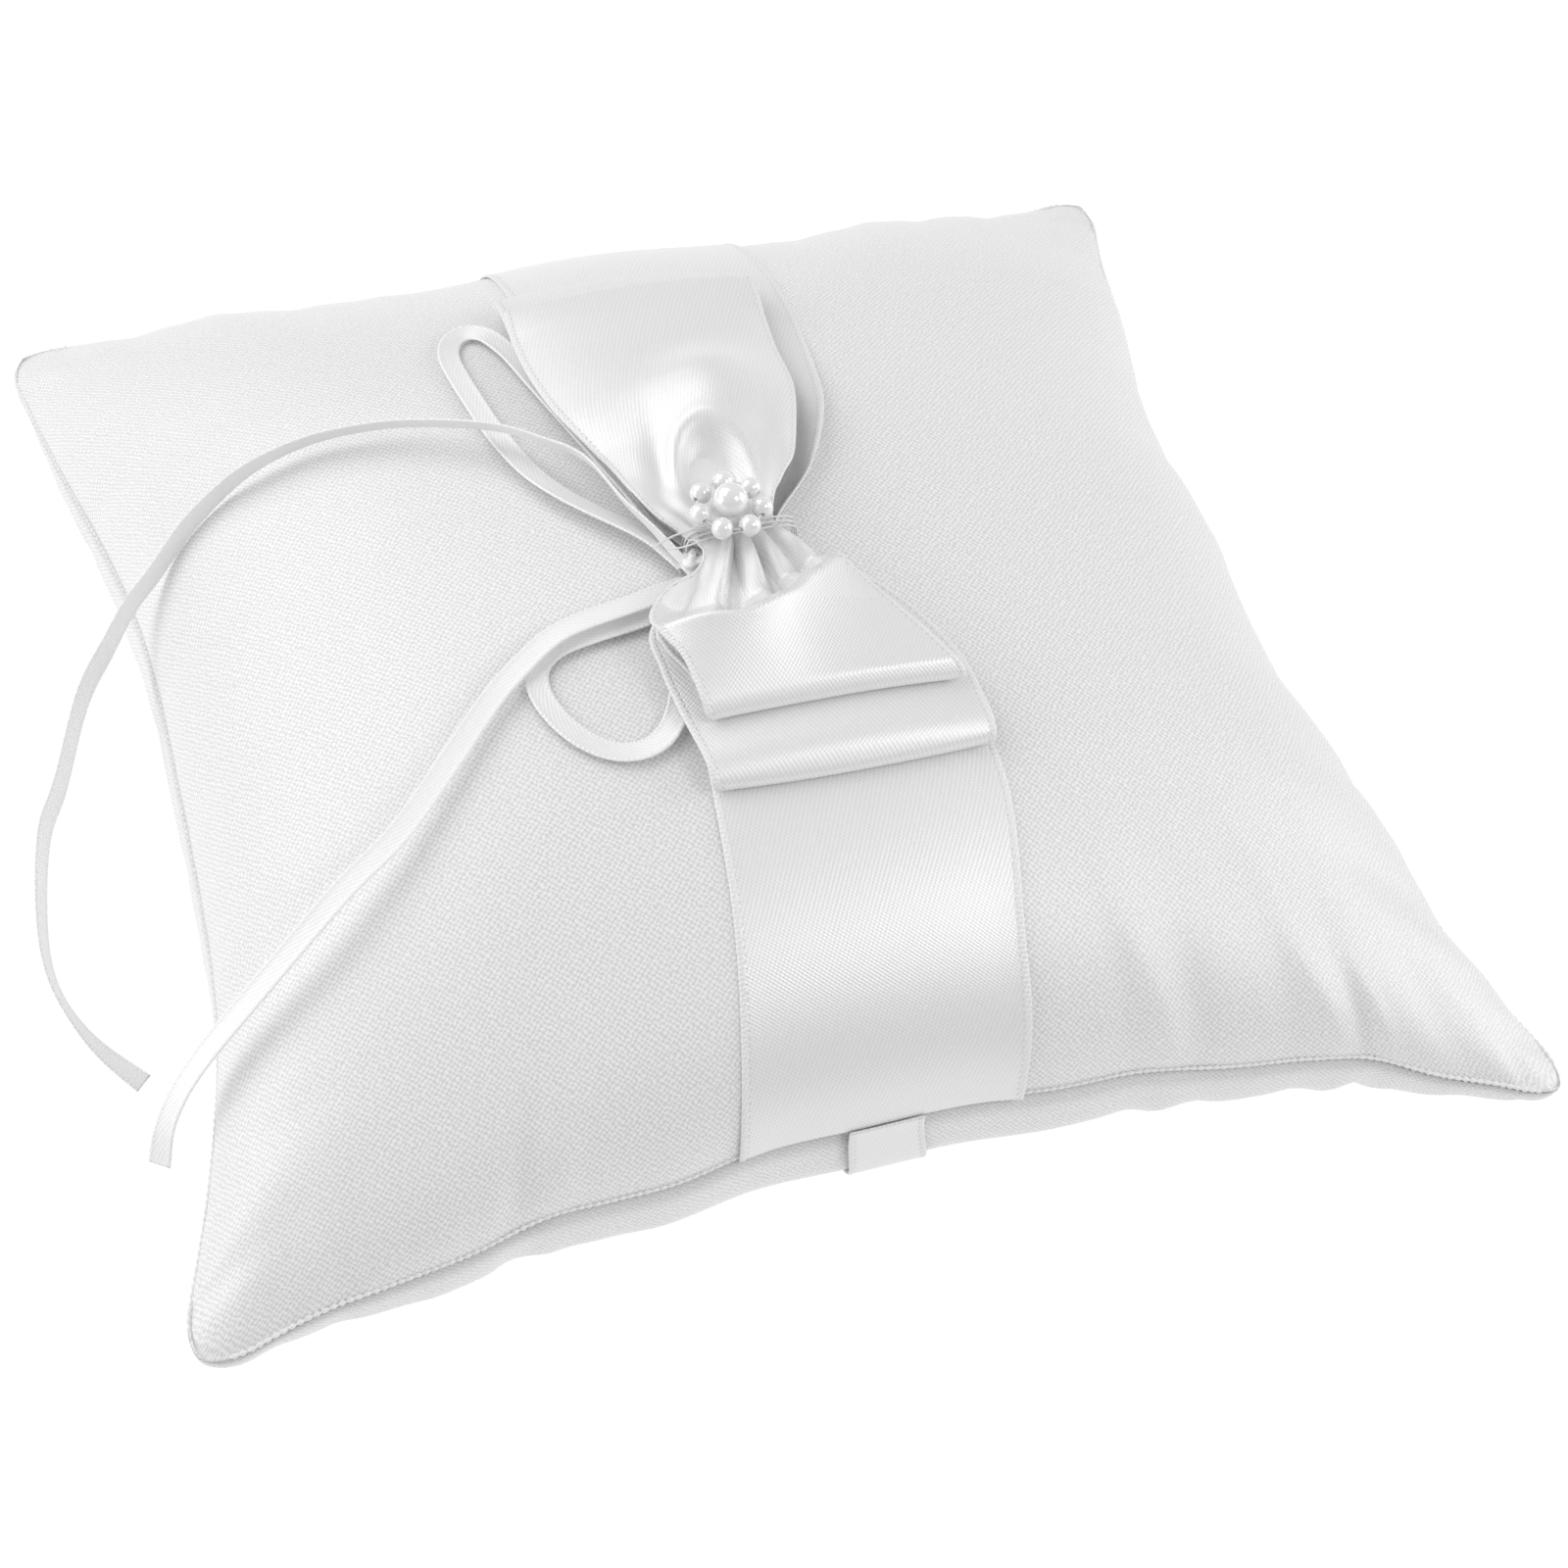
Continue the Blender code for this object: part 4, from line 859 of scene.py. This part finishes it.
def wide_ribbon():
    """The ribbon over the top: full width at the seams, gathered narrow at the pinch."""
    across = width_columns(RIBBON_WIDTH, 17, 0.9)
    turn = np.radians(np.linspace(-88.4, 88.4, 260))
    v = np.sin(turn)
    y = plan(0.0, v)[:, 1]
    left, right = through(BASE_LEFT, y), through(BASE_RIGHT, y)
    x = left[:, None] + (right - left)[:, None] * (across[None, :] / RIBBON_WIDTH + 0.5)
    rows = np.broadcast_to(v[:, None], x.shape)
    from_pinch = (y - PINCH[1])[:, None]
    bump = hump(from_pinch, 6.0)
    lift = RIBBON_LIFT + (RIBBON_LIFT_AT_PINCH - RIBBON_LIFT) * bump
    ripple = 0.16 * np.sin(across[None, :] * 1.05 + 0.4) * hump(from_pinch, 16.0)
    curl = 0.55 * share01((across[None, :] - 15.0) / 4.0) ** 2 * hump(y[:, None] + 68, 9)
    to_edge = share01((across[None, :] - 12.0) / 7.0) ** 2
    beside_bow = 2.8 * to_edge * hump(y[:, None] - 10, 15)
    lift = lift + ripple + curl + beside_bow
    grid = over(find_u(x, rows), rows, TOP, lift)
    thickness = width_thickness(across, RIBBON_WIDTH, 0.9, 0.28, 0.42)
    made = strip("base_ribbon", "wide_ribbon", grid, thickness, across, WIDE)


wide_ribbon()

STRAP_LIFT = 0.55
STRAP_LIFT_AT_SEAM = 1.0
STRAP_SWING = 1.8  # how far the front end lies to the left


def hand_strap():
    """The strap along the underside, its ends standing out over the front and back seams."""
    across = width_columns(STRAP_WIDTH, 7, 0.7)
    turn = np.radians(np.linspace(-90, 90, 260))
    v = np.sin(turn)
    near_seam = hump(90 - np.abs(np.degrees(turn)), 13.0)
    lift = STRAP_LIFT + (STRAP_LIFT_AT_SEAM - STRAP_LIFT) * near_seam
    swing = STRAP_SWING * near_seam * (v < 0)
    x = STRAP_X + across[None, :] - swing[:, None]
    rows = np.broadcast_to(v[:, None], x.shape)
    grid = cover_skin(find_u(x, rows), rows, UNDER, -np.broadcast_to(lift[:, None], x.shape))
    grid[..., 2] += 0.6 * near_seam[:, None]
    thickness = width_thickness(across, STRAP_WIDTH, 0.7, 0.24, 0.36)
    made = strip("strap_ribbon", "hand_strap", grid[::-1], thickness, across, NARROW)


hand_strap()

# ---------------- bow

# Edges of each layer of the two rings of ribbon, as (y, x).
UPPER_LEFT = [
    (-34, -16), (-32, -16.3), (-26, -17.4), (-21.5, -19.3), (-19, -19.6), (-16, -17.4), (-13.6, -13),
    (-11, -10.4), (-8, -11.4), (-4, -14.4), (0, -16.4), (6, -18), (19, -21.8), (36, -23.4), (44, -22.9),
]
UPPER_RIGHT = [
    (-34, 18.6), (-32, 17.4), (-27, 14.2), (-22, 10.7), (-18.5, 8), (-15, 5), (-12, 2.2), (-9.5, 0.3),
    (-8, -0.1), (-4.5, 0.9), (3, 5.9), (10, 8.6), (18, 10.9), (28, 11.6), (40, 12.8), (44, 13),
]
LOWER_LEFT = [
    (-43, -17), (-37, -17.6), (-30, -18.8), (-24, -19.4), (-17.5, -18.6), (-13, -12.8), (-11, -10.6),
    (-8, -11.4), (-4, -13.8), (6, -16.8), (19, -20.8), (36, -22.8), (51, -22.6),
]
LOWER_RIGHT = [
    (-43, 20), (-36, 19.9), (-29.5, 18.9), (-25, 17), (-19.6, 13.8), (-15.5, 10), (-12, 5.2), (-8, -0.2),
    (-4, 0.4), (3, 4.9), (10, 7.6), (18, 9.9), (28, 10.8), (44, 12.6), (51, 13.4),
]
BOW_ROWS = 70
FOLD_ROWS = 7


def fold_run(start, tip, level_from, level_to, rows):
    """(y, over share) rows from start out to a rounded fold at tip and back. Share 1 is the upper layer."""
    radius = abs(level_from - level_to) / 2
    way = 1 if tip > start else -1
    out = start + (tip - way * radius - start) * np.linspace(0, 1, rows) ** 0.9
    turn = np.linspace(0, math.pi, FOLD_ROWS + 2)[1:-1]
    fold = tip - way * radius + way * radius * np.sin(turn)
    share = (1 + np.cos(turn)) / 2
    y = np.concatenate([out, fold, out[::-1]])
    s = np.concatenate([np.ones(rows), share, np.zeros(rows)])
    if level_from < level_to:
        s = 1 - s
    return y, s


def ring(tips, levels):
    """Rows of a flattened ring of ribbon: over the near loop, back under both, and over the far loop."""
    near_y, near_s = fold_run(PINCH[1], tips[0], levels[1], levels[0], BOW_ROWS)
    far_y, far_s = fold_run(PINCH[1], tips[1], levels[2], levels[3], BOW_ROWS)
    return np.concatenate([near_y[:-1], far_y[:-1]]), np.concatenate([near_s[:-1], far_s[:-1]])


def bow(name, node, edges, inset, tips, tip_lean, under_lift, over_lift, tip_levels):
    """One ring of the bow, its lower layer inset at both edges."""
    across = width_columns(RIBBON_WIDTH, 39, 0.9)
    y0, share = ring(tips, tip_levels)
    t = across[None, :] / (RIBBON_WIDTH / 2)
    s = share[:, None]
    left = through(edges[0], y0)[:, None] + inset * (1 - s)
    right = through(edges[1], y0)[:, None] - inset * (1 - s)
    x = left + (right - left) * (t + 1) / 2
    y = y0[:, None] + tip_lean(t, y0[:, None])
    lift = under_lift(x, y, t) * (1 - s) + over_lift(x, y, t) * s
    grid = over_xy(x, y, lift)
    thickness = width_thickness(across, RIBBON_WIDTH, 0.9, 0.26, 0.40)
    made = strip(name, node, grid, thickness, across, WIDE, closed=True)


def no_lean(t, y):
    return 0 * t * y


def lower_lean(t, y):
    near = 0.9 * t**2 * share01((-y - 20) / 22) ** 2
    far = -4.4 * share01((t - 0.1) / 0.9) ** 1.3 * share01((y - 10) / 40) ** 2
    return near + far


def small_pleats(x, y, amount):
    """The fine gathers right at the winding."""
    away = np.abs(y - PINCH[1])
    spread = PINCH_HALF / (PINCH_HALF + 0.55 * away)
    return amount * np.cos((x - PINCH[0]) * 2 * math.pi / 1.9 * spread) * np.exp(-away / 4.5)


def far_edge(y, t, start):
    """How much the far loops' edges lie down, beyond y = start."""
    return share01(t) ** 3 * share01((y - start) / 9) * share01((46 - y) / 10)


def lower_under(x, y, t):
    lift = through([(-43, 1.1), (-38, 1.2), (-30, 1.4), (-20, 1.7), (-14, 1.8), (-8, 2.1), (10, 2.1),
                    (30, 1.9), (51, 1.7)], y)
    return lift - 1.1 * far_edge(y, t, -3)


def lower_over(x, y, t):
    lift = through([(-43, 1.9), (-41.4, 2.2), (-39.9, 3.0), (-34, 2.9), (-26, 2.8), (-18, 2.5), (-14, 2.5),
                    (-8, 2.8), (2, 3.5), (12, 4.6), (30, 3.9), (44, 3.6), (51, 3.0)], y)
    arch = 0.25 * np.cos(t * 1.5) * share01((-y - 12) / 10)
    return lift + arch - 2.6 * far_edge(y, t, -3) - 1.2 * far_edge(y, -t, 0)


def upper_under(x, y, t):
    lift = through([(-34, 3.7), (-30, 3.6), (-18, 3.2), (-14, 3.2), (-8, 3.5), (2, 4.6), (12, 5.6), (30, 5.0),
                    (44, 4.5)], y)
    return lift - 2.9 * far_edge(y, t, -3) - 1.5 * far_edge(y, -t, 0)


CREST_LINE = [
    (-20.5, -20.9), (-16, -22), (-11, -23.2), (-7.4, -23.3), (-4.4, -22.4), (-1.4, -20.6), (2.5, -18),
    (6.2, -15.7), (10, -13.9),
]
CREST_LIFT = [(-20.5, 6.4), (-16, 8.9), (-11, 10.3), (-7, 10.6), (-2, 10.0), (3, 9.0), (8, 7.4), (12, 6.6)]
CREST_SAG = [(-20.5, 0.6), (-16, 1.8), (-11, 2.6), (-7, 2.8), (-2, 1.9), (3, 0.9), (8, 0.4), (12, 0.2)]
# Gather valleys of the near loop: (direction in degrees from -Y, half width in degrees, depth).
VALLEYS = [
    (-15, 4.6, 4.6), (8, 4.2, 3), (-36, 6, 1.6), (26, 5.5, 1.8), (44, 6, 1.4),
]
NEAR_TIP = 25.2
TIP_FOLD = 1.6


def upper_over_near(x, y, t):
    away = PINCH[1] - y
    crest = PINCH[1] - through(CREST_LINE, x)
    high = through(CREST_LIFT, x)
    share = away / crest
    sag = through(CREST_SAG, x)
    climb = share01(share)
    rise = 5.3 + (high - 5.3) * climb ** (1.6 + 1.6 * sag) - 0.45 * sag * np.sin(climb**0.8 * math.pi) ** 1.2
    rise = rise + 1.9 * np.sin(share01(1.5 * climb) * math.pi)
    past = share01((away - crest) / np.maximum(NEAR_TIP - TIP_FOLD - crest, 1.0))
    fall = high + (5.8 - high) * (0.35 * past + 0.65 * past**0.8)
    fall = fall - 1.2 * share01((away - NEAR_TIP + TIP_FOLD) / TIP_FOLD) ** 1.2
    edge = 1 / (1 + np.exp(-np.clip((share - 1) * 34, -40, 40)))
    lift = rise * (1 - edge) + fall * edge
    direction = np.degrees(np.arctan2(x - PINCH[0] - 0.3, np.maximum(away, 0.0) + 4.0))
    fade = share01((away - 0.5) / 4.0) * share01((1.02 - share) / 0.12)
    ridges = 0.0
    for place, half, depth in VALLEYS:
        ridges = ridges + depth * hump(direction - place, half)
    ribs = 0.30 * np.cos(direction * 0.55) * share01(1.3 - share)
    return np.maximum(lift - (ridges - ribs) * fade, upper_under(x, y, t) + 0.5)


def upper_over_far(x, y, t):
    lift = through([(-8, 5.3), (-2, 6.0), (6, 6.4), (14, 6.4), (22, 5.8), (30, 5.6), (38, 5.9), (44, 5.9)], y)
    across = (x + 2.6 - 0.10 * (y - 8)) / 7.6
    ahead = (y - 17.5) / np.where(y > 17.5, 6.4, 13.5)
    dome = 3.6 * np.exp(-(across**2) * (1 + 0.5 * share01(-ahead))) * np.exp(-(np.abs(ahead) ** 2.4))
    dx = (x + 5.4) / 3.9
    dy = (y - 0.5) / 6.8
    inside = np.sqrt(dx**2 + dy**2)
    hollow = -2.9 / (1 + np.exp(np.clip((inside - 1.0) * 7.0, -40, 40)))
    lip = 0.7 * hump(inside - 1.28, 0.22) * share01((y + 1) / 4)
    behind = share01((y + 4.5) / 5.0)
    left_fold = -1.1 * hump(x + 12.2 - 0.14 * (y - 2), 1.7) * hump(y - 1, 9)
    right_fold = 0.8 * hump(x - 5.5 - 0.3 * (y - 6), 2.0) * hump(y - 5, 9)
    form = (dome + hollow + lip + left_fold + right_fold) * behind
    return lift + form - 3.0 * far_edge(y, t, -3) - 1.7 * far_edge(y, -t, 0)


def upper_over(x, y, t):
    near = y < PINCH[1]
    lift = np.where(near, upper_over_near(x, np.minimum(y, PINCH[1]), t), upper_over_far(x, y, t))
    return lift + small_pleats(x, y, 0.42)


bow("bow_lower_loops", "bow_lower_ribbon", (LOWER_LEFT, LOWER_RIGHT), 0.8, (-41.6, 50.0), lower_lean,
    lower_under, lower_over, (1.1, 2.4, 3.2, 1.7))
bow("bow_upper_loops", "bow_upper_ribbon", (UPPER_LEFT, UPPER_RIGHT), 1.0, (-33.2, 43.0), no_lean,
    upper_under, upper_over, (3.7, 4.6, 5.9, 4.5))


# ---------------- knot, threads and pearls


def tie_knot():
    """The small hard knot beside the pinch: a crumpled core with two turns of ribbon round it."""
    centre = over_xy(*KNOT)
    rings, turns = 28, 40
    tilt = np.linspace(0.06, math.pi - 0.06, rings)[:, None]
    turn = (2 * np.pi * np.arange(turns) / turns)[None, :]
    wraps = 1 + 0.13 * np.cos(3 * turn + 2.2 * np.cos(tilt)) * np.sin(tilt)
    wraps = wraps + 0.10 * np.cos(7 * tilt + 1.4 * turn)
    ball = [np.sin(tilt) * np.cos(turn), np.sin(tilt) * np.sin(turn), np.cos(tilt) * np.ones_like(turn)]
    shape = np.stack([half * wraps * part for half, part in zip(KNOT_HALF, ball)], -1)
    points = (centre + shape).reshape(-1, 3)
    index = np.arange(rings * turns).reshape(rings, turns)
    nxt = np.roll(index, -1, 1)
    faces = np.stack([index[:-1], index[1:], nxt[1:], nxt[:-1]], -1).reshape(-1, 4)
    flat = np.stack(np.broadcast_arrays(turn * 0.5 - 1.5, tilt * 1.5), -1).reshape(-1, 2)
    every = [tuple(map(int, f)) for f in (*faces, index[0], index[-1][::-1])]
    layout = np.concatenate([flat[list(f)] for f in every])
    link("tie_knot", "tie_ribbon_knot", points, every, TIE, layout)


tie_knot()

WINDING_TURNS = 3
WINDING_PITCH = 0.75
WINDING_HALF = (7.3, 2.7)
WINDING_LIFT = 3.35
WINDING_START = 120
WINDING_STEPS = 24  # samples in one turn
THREAD_THICKNESS = 0.25
LOOSE_ENDS = [
    [(-9.2, -7.4, 6.2), (-11.4, -7.7, 6.4), (-13.6, -8.0, 6.3), (-16.4, -8.8, 6.0)],
    [(-9.2, -9.2, 6.2), (-11.0, -9.6, 6.2), (-12.6, -9.7, 6.0), (-14.6, -9.2, 5.6)],
]


def gather_winding():
    """One length of thread: a loose end, the turns round the pinch, and the other loose end."""
    steps = WINDING_TURNS * WINDING_STEPS
    k = np.arange(steps + 1)
    turn = np.radians(WINDING_START + 360 // WINDING_STEPS * k)
    y = PINCH[1] + WINDING_PITCH * WINDING_TURNS * (0.5 - k / steps)
    winding = over_xy(PINCH[0] + 0 * y, y, WINDING_LIFT)
    winding[:, 0] += WINDING_HALF[0] * np.copysign(np.abs(np.cos(turn)) ** 0.5, np.cos(turn))
    winding[:, 2] += WINDING_HALF[1] * np.copysign(np.abs(np.sin(turn)) ** 0.5, np.sin(turn))
    ends = [over_xy(*np.array(route).T) for route in LOOSE_ENDS]
    centres = np.concatenate([ends[0][::-1], winding, ends[1]])
    line, _ = smooth_route(list(centres), [0.0] * len(centres), 0.35)
    tube("gather_winding", "gather_thread", line, THREAD_THICKNESS / 2, 8, THREAD)


gather_winding()

FLOWER = (-5.8, -6.6)
CENTRE_PEARL_RADIUS = 2.25
PETAL_RADIUS = 1.4
PETAL_COUNT = 7
PETAL_RING = 4.1
PETAL_PHASE = -17.0
PETAL_LIFT = 8.4
CENTRE_LIFT = 9.4
BORE_RADIUS = 0.4
PEARL_SIDES = 52


def pearl(name, node, centre, radius, axis, seed):
    """A bored bead, a little out of round."""
    axis = unit(np.array(axis, float))
    side = unit(np.cross(axis, np.array([0.3, 0.5, 0.8])))
    other = np.cross(axis, side)
    start = math.asin(BORE_RADIUS / radius)
    outer = np.linspace(start, math.pi - start, 34)
    turns = 2 * np.pi * np.arange(PEARL_SIDES) / PEARL_SIDES
    profile = [(math.sin(a), math.cos(a)) for a in outer]
    wall = BORE_RADIUS * 0.8 / radius
    profile += [(wall, h) for h in np.linspace(-0.93, 0.93, 5)]
    points = []
    for out, up in profile:
        round_off = 1 + 0.008 * np.sin(2 * turns + seed) + 0.006 * np.cos(3 * turns - seed)
        points.append(centre + radius * (axis * up + out * round_off[:, None] * (
            side * np.cos(turns)[:, None] + other * np.sin(turns)[:, None])))
    index = np.arange(len(profile) * PEARL_SIDES).reshape(len(profile), PEARL_SIDES)
    nxt, down = np.roll(index, -1, 1), np.roll(index, -1, 0)
    faces = np.stack([index, down, np.roll(down, -1, 1), nxt], -1).reshape(-1, 4)
    link(name, node, np.concatenate(points), faces.tolist(), PEARL)


flower_top = over_xy(*FLOWER, 0.0)
centre_place = flower_top + np.array([0, 0, CENTRE_LIFT])
pearl("centre_bead", "centre_pearl", centre_place, CENTRE_PEARL_RADIUS, (0.8, -0.6, 0.0), 0)
for k in range(PETAL_COUNT):
    angle = math.radians(PETAL_PHASE + 360 * k / PETAL_COUNT)
    place = flower_top + np.array([math.cos(angle) * PETAL_RING, math.sin(angle) * PETAL_RING, PETAL_LIFT])
    pearl(f"petal_bead_{k + 1}", f"petal_pearl_{k + 1}", place, PETAL_RADIUS,
          (-math.sin(angle), math.cos(angle), 0.0), k + 1)

for name in ("bead_thread", "tack_thread"):
    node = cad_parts[name]
    node.data.materials.clear()
    node.data.materials.append(THREAD)


# ---------------- floor and light

scene = bpy.context.scene
scene.view_settings.view_transform = "Standard"
scene.view_settings.look = "None"
scene.view_settings.exposure = 0.0
scene.view_settings.gamma = 1.0
world = bpy.data.worlds.new("studio")
scene.world = world
world.use_nodes = True
world.node_tree.nodes["Background"].inputs[0].default_value = (1.0, 1.0, 1.0, 1.0)
world.node_tree.nodes["Background"].inputs[1].default_value = 0.50

floor_mesh = bpy.data.meshes.new("floor")
floor_mesh.from_pydata([(-3, -3, 0), (3, -3, 0), (3, 3, 0), (-3, 3, 0)], [], [(0, 1, 2, 3)])
floor = bpy.data.objects.new("floor", floor_mesh)
scene.collection.objects.link(floor)
floor.location.z = -0.0002
f = Nodes("floor")
f.finish(
    Base_Color=grey(0.06), Roughness=0.9, Specular_IOR_Level=0.0,
    Emission_Color=grey(1.0), Emission_Strength=0.97,
)
floor_mesh.materials.append(f.material)


LIGHT_DISTANCE = 0.95
LIGHTS_LOOK_AT = Vector((0.0, 0.0, 0.03))


def softbox(name, azimuth, elevation, size, power):
    """A soft square light that looks at the pillow from an azimuth, measured as the camera's is."""
    a, e = math.radians(azimuth), math.radians(elevation)
    away = Vector((math.sin(a) * math.cos(e), -math.cos(a) * math.cos(e), math.sin(e)))
    data = bpy.data.lights.new(name, "AREA")
    data.shape = "RECTANGLE"
    data.size = size
    data.size_y = size
    data.energy = power
    lamp = bpy.data.objects.new(name, data)
    scene.collection.objects.link(lamp)
    lamp.location = LIGHTS_LOOK_AT + away * LIGHT_DISTANCE
    lamp.rotation_euler = (-away).to_track_quat("-Z", "Y").to_euler()


softbox("back_left_light", 225, 44, 0.90, 4.2)
softbox("left_light", 268, 18, 0.60, 2.0)
softbox("right_light", 84, 20, 0.60, 2.7)
softbox("front_light", 44, 48, 0.34, 1.5)
